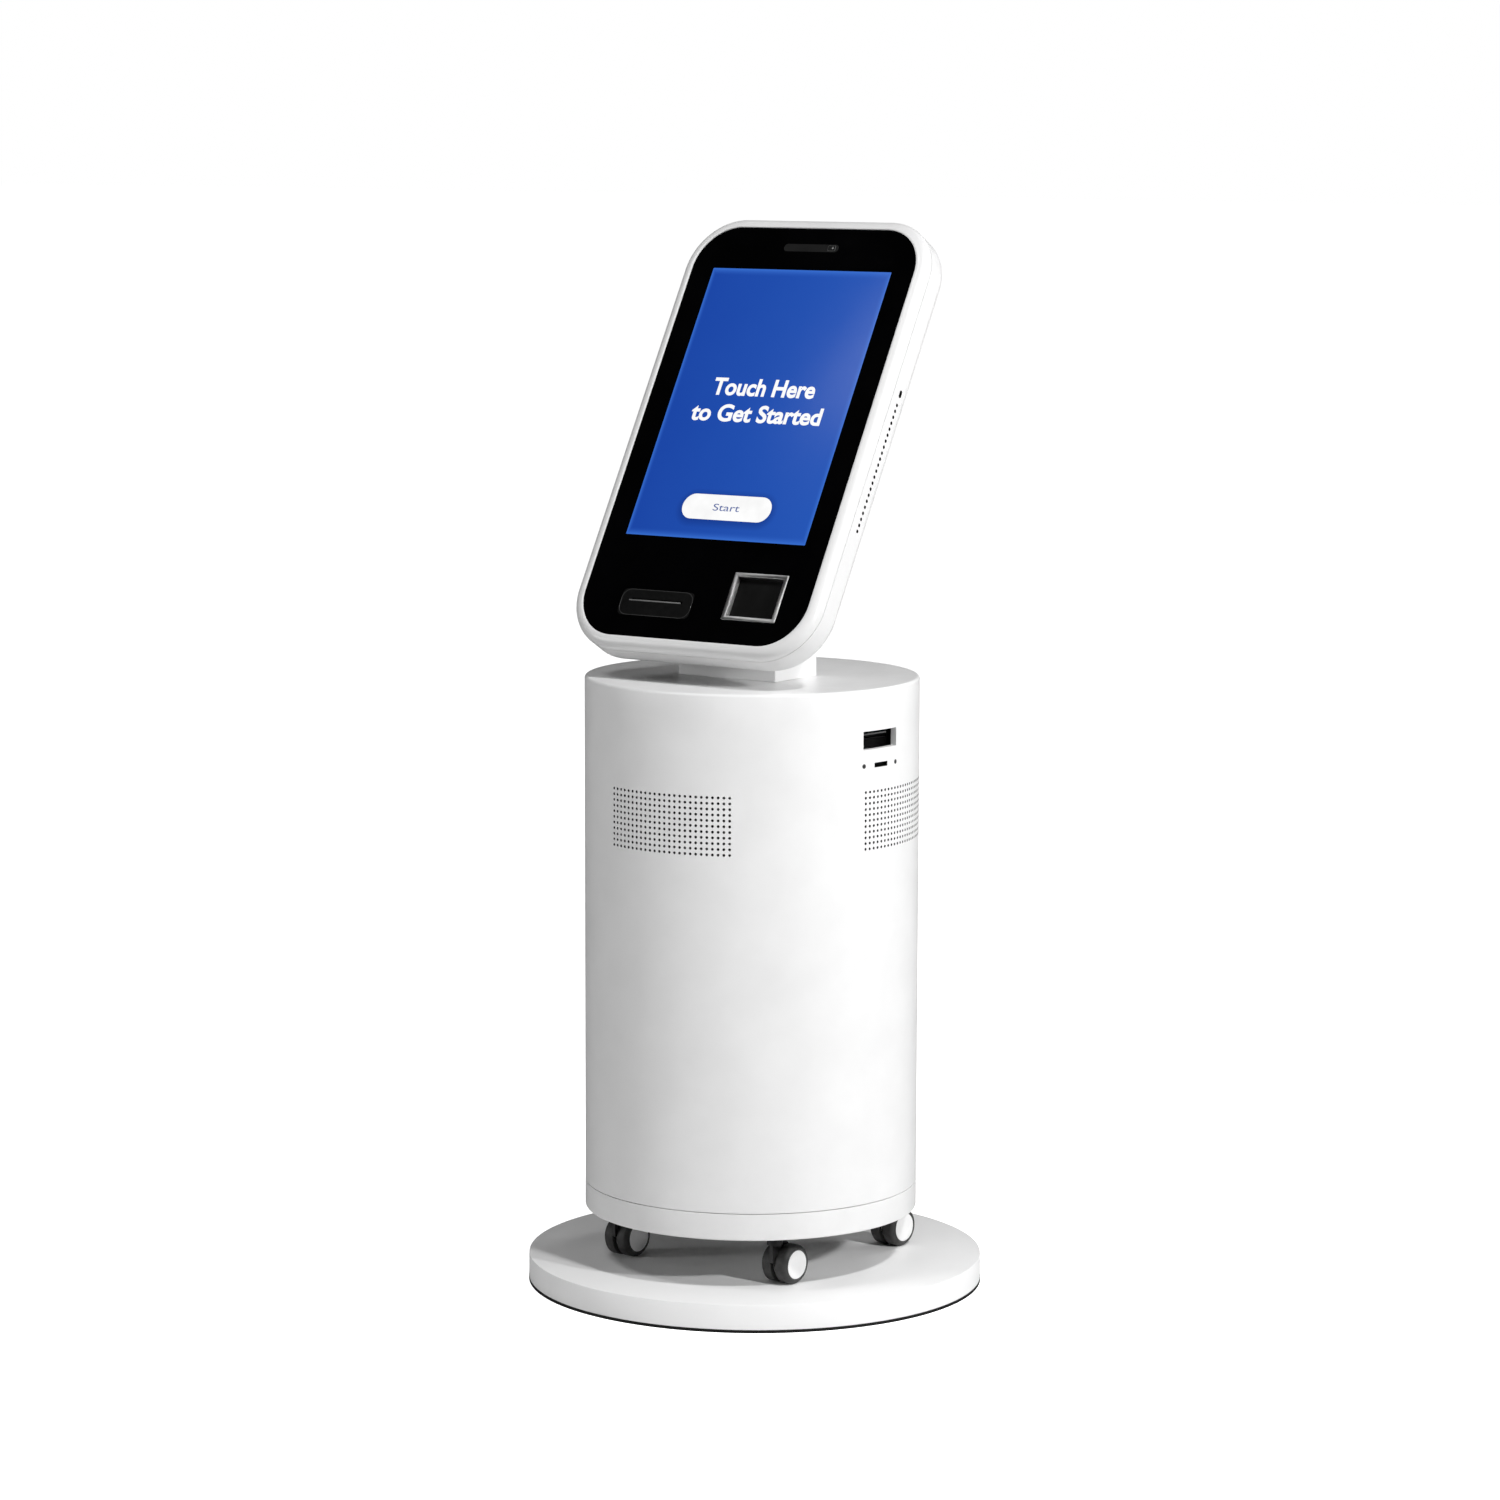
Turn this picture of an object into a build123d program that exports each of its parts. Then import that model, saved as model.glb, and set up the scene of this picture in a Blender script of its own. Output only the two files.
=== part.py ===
from build123d import *
from math import cos, pi, radians, sin
import os

# Touchscreen kiosk: a round cabinet on four twin-wheel casters, with a tilted
# touchscreen head on a square neck that turns on the cabinet's top.
#
# Frame: millimetres, +Z up, the head faces -Y, +X is the visitor's right.
# The origin is on the floor, on the cabinet's axis.
# Angles round the cabinet are counted from the front (-Y) towards +X.

# ---------------------------------------------------------------- sizes
# Cabinet
body_radius = 190.0          # outer radius of the round cabinet
skirt_clearance = 14.0       # wheel tops to the skirt's lower edge
skirt_height = 30.0          # skirt ring below the seam
ledge_rise = 3.0             # ledge above the skirt's lower edge
seam = 1.0                   # shadow gap between skirt and shell
cabinet_top = 671.0          # floor to the top face
shell_wall = 2.5
shell_top_thickness = 3.0
top_edge_radius = 3.5
skirt_wall = 3.5
skirt_edge_radius = 2.0
body_turn = 4.4              # the cabinet stands turned by this under the head
rest_gap = 0.3               # between pieces of different bodies
running_gap = 0.05           # radial clearance of turning fits

# Casters
caster_inset = 34.44         # swivel axes inside the cabinet's outer face
caster_turn = -4.5           # wheel axles turned from +X at rest
caster_trail = 18.0          # wheel axle behind the swivel axis
wheel_radius = 22.5
wheel_width = 14.5
wheel_gap = 6.0              # between the two wheels of a caster
caster_web = 5.0             # housing between the wheels
hub_radius = 16.5
axle_radius = 3.0
stem_radius = 5.5
boss_radius = 9.0
socket_wall = 3.0
socket_height = 26.0
socket_flange = 3.0          # flange round a socket, under the base plate
socket_flange_thickness = 2.0
housing_clearance = 4.0      # housing's lower edge above the axle, at the boss
boss_clearance = 1.5         # boss above the wheels
tyre_bevel = 3.0
hub_cap = 1.2                # closed end of the axle bore
hub_proud = 0.8              # cap ahead of the tyre

# Structure inside the cabinet
base_plate_thickness = 5.0
ledge_width = 8.0
ledge_thickness = 4.0
lip_overlap = 11.0           # skirt lip standing inside the shell
post_side = 20.0
post_wall = 2.0
post_inset = 35.0            # post axes inside the cabinet's outer face, along X
post_y = 65.0
stiffener_thickness = 6.0
shelf_thickness = 3.0
shelf_margin = 11.5          # shelf edge inside the shell
lower_shelf_height = 300.0

# Vents, seen from the cabinet's own front
vent_columns = 25
vent_rows = 11
vent_pitch_angle = 1.934
vent_pitch = 6.36
vent_hole_radius = 1.6
vent_drop = 146.6            # centre of the vent grids below the top
vent_border_angle = 2.3
vent_border = 6.0
side_vent_angle = 95.4

# Receipt outlet and data port on the right side
outlet_angle = 79.6
outlet_drop = 57.0           # outlet centre below the top
outlet_width = 57.0
outlet_opening = 20.6
outlet_depth = 16.0
outlet_wall = 2.0
paper_slot_height = 3.0
port_drop = 85.4             # port centre below the top
port_width = 22.4
port_opening = 5.4
port_depth = 14.0
port_setback = 0.4           # port face behind the shell's surface
port_rim = 1.0               # side walls of the port
port_floor = 3.0
port_flange_thickness = 2.0
tongue_thickness = 1.2
port_screw_offset = 27.4     # screws beside the port, along the curve
screw_length = 6.0           # screw behind the shell
screw_radius = 1.5
screw_head_radius = 2.6

# Service door at the rear
door_half_angle = 35.0
door_above_inlet = 16.5     # door's low edge above the inlet's opening
door_drop = 71.0             # door's top edge below the cabinet's top
door_gap = 0.8
knuckle_radius = 3.5
hinge_pin_radius = 1.8
knuckle_length = 14.0
hinge_inset = 60.0           # hinges from the door's ends
leaf_thickness = 1.5
leaf_angle = 5.0
lock_radius = 8.0
lock_height = 380.0
lock_inset_angle = 8.0       # lock from the door's free edge
lock_bush_wall = 3.0
lock_bush_depth = 9.0
lock_cam_length = 38.0
lock_cam_width = 12.0
lock_cam_thickness = 2.0
key_slot_length = 8.0
key_slot_width = 1.6
key_slot_depth = 3.0

# Power inlet, rear, below the door
inlet_width = 50.0
inlet_opening = 27.0
inlet_above_lip = 2.5        # inlet's flange above the skirt's lip
inlet_depth = 30.0
inlet_flange = 4.0
inlet_flange_thickness = 2.0
plug_mouth_x = -9.0          # mouth for the mains connector, from the inlet's middle
plug_mouth_width = 24.0
plug_mouth_height = 17.0
plug_mouth_depth = 16.0
pin_spacing = 7.0
pin_rise = 2.0
pin_width = 2.0
pin_height = 4.0
pin_length = 14.0
rocker_x = 14.0
rocker_radius = 7.0
rocker_width = 13.0
rocker_travel = 24.0

# Equipment
computer_size = (150.0, 190.0, 45.0)
computer_corner = 6.0
cooling_slot_length = 10.0
cooling_slot_width = 3.0
cooling_slot_pitch = (14.0, 8.0)
supply_size = (110.0, 70.0, 42.0)
supply_y = 60.0
supply_corner = 4.0
fan_side = 80.0
fan_depth = 25.0
fan_setback = 30.0           # fan face behind the shell's inner face
fan_corner = 4.0
fan_screw_radius = 2.2
fan_screw_inset = 4.5
spider_width = 5.0           # arms that hold the fan's motor
spider_thickness = 3.0
fan_wall = 4.0               # frame beside the rotor's opening
rotor_clearance = 2.0
rotor_hub_radius = 14.0
rotor_shaft_radius = 3.0
blade_count = 7
blade_width = 11.0
blade_thickness = 3.0
rotor_cap = 1.2              # closed end of the rotor's bore
printer_width = 66.0
printer_depth = 92.0
printer_above_slot = 19.0    # printer's top above the outlet's centre
roll_radius = 30.0
roll_width = 57.0
roll_core_radius = 6.5
roll_clearance = 3.0
roll_side_gap = 1.0

# Neck
neck_width = 134.0
neck_depth = 82.0
neck_setback = -9.5          # neck centre in Y
neck_wall = 3.0
neck_floor = 6.0
neck_edge_radius = 1.5
spigot_radius = 24.0
spigot_bore_radius = 18.0
spigot_flange_radius = 36.0
spigot_flange_thickness = 4.0
collar_radius = 33.0
collar_height = 6.0

# Head, in its own tilted plane: across, up along the screen, out of the glass
head_tilt = 30.0             # screen leans back from upright
screen_above_top = 306.0     # screen centre above the cabinet's top
screen_centre_y = 10.5
head_half_width = 166.0
head_up = 237.0              # head's top above the screen centre
head_down = 308.0            # head's bottom below the screen centre
head_corner_radius = 67.0
head_depth = 47.0            # behind the glass face
frame_proud = 1.5            # rim ahead of the glass face
frame_depth = 12.0           # rim's back edge behind the glass face
frame_edge_radius = 11.0
back_edge_radius = 14.0
head_wall = 3.0
groove = 0.8                 # reveal between rim and rear shell
lip_depth = 6.0
rim_width = 13.3             # rim beside the glass
glass_thickness = 4.0
glass_gap = 0.3
ledge_inset = 7.5            # rim's ledge under the glass
display_width = 244.8
display_length = 340.6
display_border = 8.0
display_thickness = 12.0
display_corner = 3.0
chassis_thickness = 2.0
chassis_margin = 10.0
chassis_corner = 20.0
boss_x = 110.0               # chassis bosses on the rear shell
boss_rows = (-165.0, 20.0, 195.0)
chassis_boss_radius = 6.0
card_x = -50.5
card_y = -253.0
card_width = 98.0
card_height = 32.0
card_corner = 6.0
card_slit_width = 71.0
card_slit_height = 3.4
card_slit_rise = 3.0         # slit above the mouth's middle
card_mouth_proud = 0.4
card_mouth_depth = 8.0
card_reader_margin = 5.0
card_reader_floor = 4.0
card_reader_depth = 30.0
scanner_x = 79.0
scanner_y = -237.0
scanner_width = 72.0
scanner_height = 58.0
scanner_rim = 5.0
scanner_recess = 6.0
scanner_frame_proud = 0.8
scanner_window_thickness = 2.0
scanner_depth = 26.0
scanner_module_inset = 2.0
scanner_module_corner = 3.0
sensor_x = 3.5
sensor_y = 199.0
sensor_width = 75.0
sensor_height = 9.5
camera_x = 31.5
camera_width = 14.0
camera_height = 9.0
camera_depth = 9.0
camera_board_width = 60.0
camera_board_height = 14.0
board_thickness = 1.6
driver_place = (-30.0, 60.0) # driver board behind the chassis
driver_width = 120.0
driver_height = 80.0
driver_standoff = 6.0
spacer_radius = 2.5
spacer_inset = 6.0
chip_place = (-50.0, 70.0)
chip_side = 22.0
plug_place = (10.0, 45.0)
plug_size = (30.0, 12.0)
chip_height = 4.0
side_hole_radius = 1.8
side_hole_pitch = 7.43
side_hole_count = 22
side_hole_top = 18.1
side_hole_depth = 26.0       # row of holes behind the glass face
side_oval_y = 31.9
side_oval_length = 9.0
side_oval_width = 5.6
speaker_length = 170.0
speaker_height = 13.0
speaker_thickness = 12.0
speaker_corner = 3.0

# ---------------------------------------------------------------- derived places
inner_radius = body_radius - shell_wall
floor_gap = 2 * wheel_radius + skirt_clearance
seam_low = floor_gap + skirt_height
shell_low = seam_low + seam
base_top = floor_gap + ledge_rise + ledge_thickness + base_plate_thickness
base_low = base_top - base_plate_thickness
lip_outer = inner_radius - rest_gap
ledge_inner = lip_outer - ledge_width
top_inside = cabinet_top - shell_top_thickness
stiffener_low = top_inside - stiffener_thickness
post_x = body_radius - post_inset
post_inner_face = post_x - post_side / 2
shelf_radius = inner_radius - shelf_margin
caster_half_spacing = (body_radius - caster_inset) / 2**0.5
vent_height = cabinet_top - vent_drop
outlet_height = cabinet_top - outlet_drop
port_height = cabinet_top - port_drop
door_high = cabinet_top - door_drop
inlet_height = seam_low + lip_overlap + inlet_above_lip + inlet_flange + inlet_opening / 2
door_low = inlet_height + inlet_opening / 2 + door_above_inlet
rotor_radius = fan_side / 2 - fan_wall - rotor_clearance
upper_shelf_height = vent_height - fan_side / 2 - shelf_thickness
screen_centre_height = cabinet_top + screen_above_top
frame_back = -frame_depth
shell_front = -frame_depth - groove
head_middle = (head_up - head_down) / 2
head_length = head_up + head_down
glass_half_width = head_half_width - rim_width
glass_back = -glass_thickness
display_back = glass_back - display_thickness
chassis_back = display_back - chassis_thickness
tray_floor = -head_depth + head_wall
vent_half_angle = (vent_columns - 1) / 2 * vent_pitch_angle + vent_border_angle
vent_half_height = (vent_rows - 1) / 2 * vent_pitch + vent_border
neck_low = cabinet_top + rest_gap
hinge_circle = body_radius + knuckle_radius + rest_gap
lock_angle = 180.0 - door_half_angle + lock_inset_angle


def around(angle):
    """Angle round the cabinet, from the world's front."""
    return angle + body_turn


def radial(angle, radius, height):
    """Plane facing outwards at an angle round the cabinet: X along the curve, Y up."""
    turn = radians(around(angle))
    return Plane(
        origin=(radius * sin(turn), -radius * cos(turn), height),
        x_dir=(cos(turn), sin(turn), 0),
        z_dir=(sin(turn), -cos(turn), 0),
    )


def curved_panel(inner, outer, angle, half_angle, low, high):
    """Piece of a cylinder wall, centred on an angle round the cabinet."""
    first = around(angle) - half_angle - 90
    last = first + 2 * half_angle
    with BuildPart() as panel:
        with BuildSketch(Plane.XY.offset(low)):
            with BuildLine():
                rim = CenterArc((0, 0), outer, first, 2 * half_angle)
                bore = CenterArc((0, 0), inner, first, 2 * half_angle)
                Line(rim @ 0, bore @ 0)
                Line(rim @ 1, bore @ 1)
            make_face()
        extrude(amount=high - low)
    return panel.part


def tube(outer, inner, low, high):
    """Upright tube on the cabinet's axis."""
    with BuildPart() as pipe:
        with BuildSketch(Plane.XY.offset(low)):
            Circle(outer)
            Circle(inner, mode=Mode.SUBTRACT)
        extrude(amount=high - low)
    return pipe.part


def save(piece, name):
    """Label a finished piece and write its file."""
    piece.label = name
    export_step(piece, f"parts/{name}.step")


os.makedirs("parts", exist_ok=True)

# ---------------------------------------------------------------- cabinet
# Skirt ring: outer wall, a ledge for the base plate and a lip inside the shell
with BuildPart() as skirt_ring:
    with BuildSketch(Plane.XZ):
        with BuildLine():
            Polyline(
                (body_radius, floor_gap),
                (body_radius, seam_low),
                (lip_outer, seam_low),
                (lip_outer, seam_low + lip_overlap),
                (body_radius - skirt_wall - shell_wall, seam_low + lip_overlap),
                (body_radius - skirt_wall - shell_wall, base_low),
                (ledge_inner, base_low),
                (ledge_inner, base_low - ledge_thickness),
                (body_radius - skirt_wall - shell_wall, base_low - ledge_thickness),
                (body_radius - skirt_wall, floor_gap),
                close=True,
            )
        make_face()
    revolve(axis=Axis.Z)
    lowest_edges = skirt_ring.edges().filter_by(GeomType.CIRCLE).group_by(Axis.Z)[0]
    fillet(lowest_edges.sort_by(SortBy.RADIUS)[-1], radius=skirt_edge_radius)
save(skirt_ring.part, "skirt_ring")

# Base plate on the ledge, with a hole for each caster socket
socket_places = [(x * caster_half_spacing, y * caster_half_spacing) for x in (-1, 1) for y in (-1, 1)]
socket_radius = stem_radius + running_gap + socket_wall
with BuildPart() as base_plate:
    with BuildSketch(Plane.XY.offset(base_low)):
        Circle(body_radius - skirt_wall - shell_wall - rest_gap)
        with Locations(*socket_places):
            Circle(socket_radius, mode=Mode.SUBTRACT)
    extrude(amount=base_plate_thickness)
save(base_plate.part, "base_plate")

# Caster sockets: flanged tubes pressed up through the base plate
with BuildPart() as caster_sockets:
    with BuildSketch(Plane.XY.offset(base_low - socket_flange_thickness)):
        with Locations(*socket_places):
            Circle(socket_radius + socket_flange)
    extrude(amount=socket_flange_thickness)
    with BuildSketch(Plane.XY.offset(base_low)):
        with Locations(*socket_places):
            Circle(socket_radius)
    extrude(amount=socket_height)
    with BuildSketch(Plane.XY.offset(base_low - socket_flange_thickness)):
        with Locations(*socket_places):
            Circle(stem_radius + running_gap)
    extrude(amount=socket_height, mode=Mode.SUBTRACT)
save(caster_sockets.part, "caster_sockets")

# Four square posts carry the top
with BuildPart() as frame_posts:
    with BuildSketch(Plane.XY.offset(base_top)):
        with GridLocations(2 * post_x, 2 * post_y, 2, 2):
            Rectangle(post_side, post_side)
            Rectangle(post_side - 2 * post_wall, post_side - 2 * post_wall, mode=Mode.SUBTRACT)
    extrude(amount=stiffener_low - base_top)
save(frame_posts.part, "frame_posts")

# Two round shelves with straight sides that meet the posts
with BuildPart() as shelves:
    for height in (lower_shelf_height, upper_shelf_height):
        with BuildSketch(Plane.XY.offset(height)):
            Circle(shelf_radius)
            Rectangle(2 * post_inner_face, 2 * shelf_radius, mode=Mode.INTERSECT)
        extrude(amount=shelf_thickness)
save(shelves.part, "shelves")

# Stiffener plate under the shell's top: the bearing that the neck's spigot turns in
save(tube(inner_radius - rest_gap, spigot_radius + running_gap, stiffener_low, top_inside), "top_stiffener")

# Shell: one drum with a closed top, windows for the vents, outlet, port, inlet and door
window_pad = 2.0
front_window = curved_panel(
    inner_radius - window_pad,
    body_radius + window_pad,
    0,
    vent_half_angle,
    vent_height - vent_half_height,
    vent_height + vent_half_height,
)
side_window = curved_panel(
    inner_radius - window_pad,
    body_radius + window_pad,
    side_vent_angle,
    vent_half_angle,
    vent_height - vent_half_height,
    vent_height + vent_half_height,
)
door_window = curved_panel(
    inner_radius - window_pad, body_radius + window_pad, 180, door_half_angle, door_low, door_high
)
window_depth = shell_wall + window_pad + outlet_depth
with BuildPart() as cabinet_shell:
    with BuildSketch(Plane.XY.offset(shell_low)):
        Circle(body_radius)
    extrude(amount=cabinet_top - shell_low)
    fillet(cabinet_shell.faces().sort_by(Axis.Z)[-1].edges(), radius=top_edge_radius)
    with BuildSketch(Plane.XY.offset(shell_low)):
        Circle(inner_radius)
    extrude(amount=top_inside - shell_low, mode=Mode.SUBTRACT)
    with BuildSketch(Plane.XY.offset(top_inside)):
        Circle(spigot_radius + window_pad)
    extrude(amount=shell_top_thickness, mode=Mode.SUBTRACT)
    add(front_window, mode=Mode.SUBTRACT)
    add(side_window, mode=Mode.SUBTRACT)
    add(door_window, mode=Mode.SUBTRACT)
    with BuildSketch(radial(outlet_angle, body_radius - window_depth, outlet_height)):
        Rectangle(outlet_width + 2 * outlet_wall, outlet_opening + 2 * outlet_wall)
    extrude(amount=2 * window_depth, mode=Mode.SUBTRACT)
    with BuildSketch(radial(outlet_angle, body_radius - window_depth, port_height)):
        Rectangle(port_width, port_opening)
    extrude(amount=2 * window_depth, mode=Mode.SUBTRACT)
    with BuildSketch(radial(180, body_radius - window_depth, inlet_height)):
        Rectangle(inlet_width, inlet_opening)
    extrude(amount=2 * window_depth, mode=Mode.SUBTRACT)
    for side in (-1, 1):
        screw_angle = outlet_angle + side * port_screw_offset / body_radius * 180 / pi
        with BuildSketch(radial(screw_angle, body_radius - window_depth, port_height)):
            Circle(screw_radius)
        extrude(amount=2 * window_depth, mode=Mode.SUBTRACT)
        with BuildSketch(radial(screw_angle, body_radius - screw_head_radius + screw_radius, port_height)):
            Circle(screw_radius)
        with BuildSketch(radial(screw_angle, body_radius, port_height)):
            Circle(screw_head_radius)
        loft(mode=Mode.SUBTRACT)
save(cabinet_shell.part, "cabinet_shell")


def vent_panel(angle):
    """Perforated wall piece filling a vent window."""
    blank = curved_panel(
        inner_radius,
        body_radius,
        angle,
        vent_half_angle,
        vent_height - vent_half_height,
        vent_height + vent_half_height,
    )
    drills = []
    for column in range(vent_columns):
        column_angle = angle + (column - (vent_columns - 1) / 2) * vent_pitch_angle
        for row in range(vent_rows):
            row_height = vent_height + (row - (vent_rows - 1) / 2) * vent_pitch
            drills.append(radial(column_angle, body_radius, row_height))
    with BuildPart() as panel:
        add(blank)
        with Locations(*drills):
            Cylinder(vent_hole_radius, 4 * shell_wall, mode=Mode.SUBTRACT)
    return panel.part


with BuildPart() as vent_panels:
    add(vent_panel(0))
    add(vent_panel(side_vent_angle))
save(vent_panels.part, "vent_panels")

# Receipt outlet: black pocket flush with the shell, with the paper slot in its back wall
with BuildPart() as receipt_outlet:
    with BuildSketch(radial(outlet_angle, body_radius - outlet_depth - outlet_wall, outlet_height)):
        Rectangle(outlet_width + 2 * outlet_wall, outlet_opening + 2 * outlet_wall)
    extrude(amount=outlet_depth + 2 * outlet_wall)
    with BuildSketch(radial(outlet_angle, body_radius - outlet_depth, outlet_height)):
        Rectangle(outlet_width, outlet_opening)
    extrude(amount=outlet_depth + outlet_wall, mode=Mode.SUBTRACT)
    with BuildSketch(radial(outlet_angle, body_radius - outlet_depth - outlet_wall, outlet_height)):
        Rectangle(outlet_width - outlet_wall, paper_slot_height)
    extrude(amount=outlet_wall, mode=Mode.SUBTRACT)
    with BuildSketch(Plane.XY):
        Circle(body_radius)
    extrude(amount=cabinet_top, mode=Mode.INTERSECT)
save(receipt_outlet.part, "receipt_outlet")

# Data port with its curved flange behind the shell
port_flange_angle = (port_screw_offset + 2 * screw_head_radius) / body_radius * 180 / pi
port_flange = curved_panel(
    inner_radius - port_flange_thickness,
    inner_radius,
    outlet_angle,
    port_flange_angle,
    port_height - port_opening,
    port_height + port_opening,
)
with BuildPart() as data_port:
    add(port_flange)
    with BuildSketch(radial(outlet_angle, body_radius - port_depth, port_height)):
        Rectangle(port_width, port_opening)
    extrude(amount=port_depth - port_setback)
    with BuildSketch(radial(outlet_angle, body_radius - port_depth + port_floor, port_height)):
        Rectangle(port_width - 2 * port_rim, port_opening - 2 * port_rim)
    extrude(amount=port_depth, mode=Mode.SUBTRACT)
    with BuildSketch(radial(outlet_angle, body_radius - port_depth + port_rim, port_height)):
        Rectangle(port_width - 6 * port_rim, tongue_thickness)
    extrude(amount=port_depth - port_rim - port_floor)
    for side in (-1, 1):
        screw_angle = outlet_angle + side * port_screw_offset / body_radius * 180 / pi
        with BuildSketch(radial(screw_angle, inner_radius - screw_length, port_height)):
            Circle(screw_radius)
        extrude(amount=2 * screw_length, mode=Mode.SUBTRACT)
save(data_port.part, "data_port")

with BuildPart() as port_screws:
    for side in (-1, 1):
        screw_angle = outlet_angle + side * port_screw_offset / body_radius * 180 / pi
        with BuildSketch(radial(screw_angle, inner_radius - screw_length, port_height)):
            Circle(screw_radius)
        extrude(amount=screw_length + shell_wall - screw_head_radius + screw_radius)
        with BuildSketch(radial(screw_angle, body_radius - screw_head_radius + screw_radius, port_height)):
            Circle(screw_radius)
        with BuildSketch(radial(screw_angle, body_radius, port_height)):
            Circle(screw_head_radius)
        loft()
save(port_screws.part, "port_screws")

# ---------------------------------------------------------------- service door
hinge_heights = (door_low + hinge_inset, door_high - hinge_inset)
gap_angle = door_gap / body_radius * 180 / pi
door_blank = curved_panel(
    inner_radius,
    body_radius,
    180,
    door_half_angle - gap_angle,
    door_low + door_gap,
    door_high - door_gap,
)
hinge_turn = radians(around(180 + door_half_angle))
hinge_x = hinge_circle * sin(hinge_turn)
hinge_y = -hinge_circle * cos(hinge_turn)


def hinge_leaf(side, low):
    """Leaf on the cabinet's surface beside the hinge line: side -1 on the door, +1 on the shell."""
    reach = leaf_angle - gap_angle
    middle = 180 + door_half_angle + side * (gap_angle + reach / 2)
    outer = body_radius + leaf_thickness
    return curved_panel(body_radius, outer, middle, reach / 2, low, low + knuckle_length)


with BuildPart() as service_door:
    add(door_blank)
    with BuildSketch(radial(lock_angle, inner_radius - lock_bush_depth, lock_height)):
        Circle(lock_radius + running_gap + lock_bush_wall)
    extrude(amount=lock_bush_depth + shell_wall / 2)
    with BuildSketch(radial(lock_angle, inner_radius - 2 * lock_bush_depth, lock_height)):
        Circle(lock_radius + running_gap)
    extrude(amount=4 * lock_bush_depth, mode=Mode.SUBTRACT)
    for height in hinge_heights:
        add(hinge_leaf(-1, height))
        with BuildSketch(Plane.XY.offset(height)):
            with Locations((hinge_x, hinge_y)):
                Circle(knuckle_radius)
        extrude(amount=knuckle_length)
        with BuildSketch(Plane.XY.offset(height)):
            with Locations((hinge_x, hinge_y)):
                Circle(hinge_pin_radius + running_gap)
        extrude(amount=knuckle_length, mode=Mode.SUBTRACT)
save(service_door.part, "service_door")

with BuildPart() as door_hinges:
    for height in hinge_heights:
        knuckle_low = height - rest_gap - knuckle_length
        add(hinge_leaf(1, knuckle_low))
        with BuildSketch(Plane.XY.offset(knuckle_low)):
            with Locations((hinge_x, hinge_y)):
                Circle(knuckle_radius)
        extrude(amount=knuckle_length)
        with BuildSketch(Plane.XY.offset(knuckle_low)):
            with Locations((hinge_x, hinge_y)):
                Circle(hinge_pin_radius)
        extrude(amount=2 * knuckle_length + rest_gap)
save(door_hinges.part, "door_hinges")

lock_face = body_radius - rest_gap
cam_radius = inner_radius - lock_bush_depth - rest_gap
with BuildPart() as lock_plug:
    with BuildSketch(radial(lock_angle, cam_radius, lock_height)):
        Circle(lock_radius)
    extrude(amount=lock_face - cam_radius)
    with BuildSketch(radial(lock_angle, lock_face - key_slot_depth, lock_height)):
        SlotOverall(key_slot_length, key_slot_width, rotation=90)
    extrude(amount=2 * key_slot_depth, mode=Mode.SUBTRACT)
save(lock_plug.part, "lock_plug")

with BuildPart() as lock_cam:
    with BuildSketch(radial(lock_angle, cam_radius - lock_cam_thickness, lock_height)):
        with Locations((0, lock_cam_length / 2)):
            SlotOverall(lock_cam_length + lock_cam_width, lock_cam_width, rotation=90)
    extrude(amount=lock_cam_thickness)
save(lock_cam.part, "lock_cam")

# ---------------------------------------------------------------- power inlet
inlet_face = (body_radius**2 - (inlet_width / 2) ** 2) ** 0.5
inlet_flange_width = inlet_width + 2 * inlet_flange
flange_face = (inner_radius**2 - (inlet_flange_width / 2) ** 2) ** 0.5 - 0.2
rocker_centre = inlet_face - rocker_radius + 1.0
pin_places = [
    (plug_mouth_x - pin_spacing, -pin_rise),
    (plug_mouth_x, pin_rise),
    (plug_mouth_x + pin_spacing, -pin_rise),
]
with BuildPart() as power_inlet:
    with BuildSketch(radial(180, inlet_face - inlet_depth, inlet_height)):
        Rectangle(inlet_width, inlet_opening)
    extrude(amount=inlet_depth)
    with BuildSketch(radial(180, flange_face - inlet_flange_thickness, inlet_height)):
        Rectangle(inlet_flange_width, inlet_opening + 2 * inlet_flange)
    extrude(amount=inlet_flange_thickness)
    with BuildSketch(radial(180, inlet_face - plug_mouth_depth, inlet_height)):
        with Locations((plug_mouth_x, 0)):
            Rectangle(plug_mouth_width, plug_mouth_height)
    extrude(amount=2 * plug_mouth_depth, mode=Mode.SUBTRACT)
    with BuildSketch(radial(180, inlet_face - plug_mouth_depth - pin_width, inlet_height)):
        with Locations(*pin_places):
            Rectangle(pin_width, pin_height)
    extrude(amount=pin_length)
    with BuildSketch(radial(180, rocker_centre, inlet_height)):
        with Locations((rocker_x, 0)):
            Rectangle(rocker_width + 2 * rest_gap, 2 * (rocker_radius + rest_gap))
    extrude(amount=2 * rocker_radius, mode=Mode.SUBTRACT)
    rocker_turn = radians(around(180))
    rocker_plane = Plane(
        origin=radial(180, rocker_centre, inlet_height).from_local_coords((rocker_x, 0, 0)),
        x_dir=(sin(rocker_turn), -cos(rocker_turn), 0),
        z_dir=(cos(rocker_turn), sin(rocker_turn), 0),
    )
    with BuildSketch(rocker_plane.offset(-rocker_width / 2 - rest_gap)):
        Circle(rocker_radius + rest_gap)
    extrude(amount=rocker_width + 2 * rest_gap, mode=Mode.SUBTRACT)
save(power_inlet.part, "power_inlet")

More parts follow.
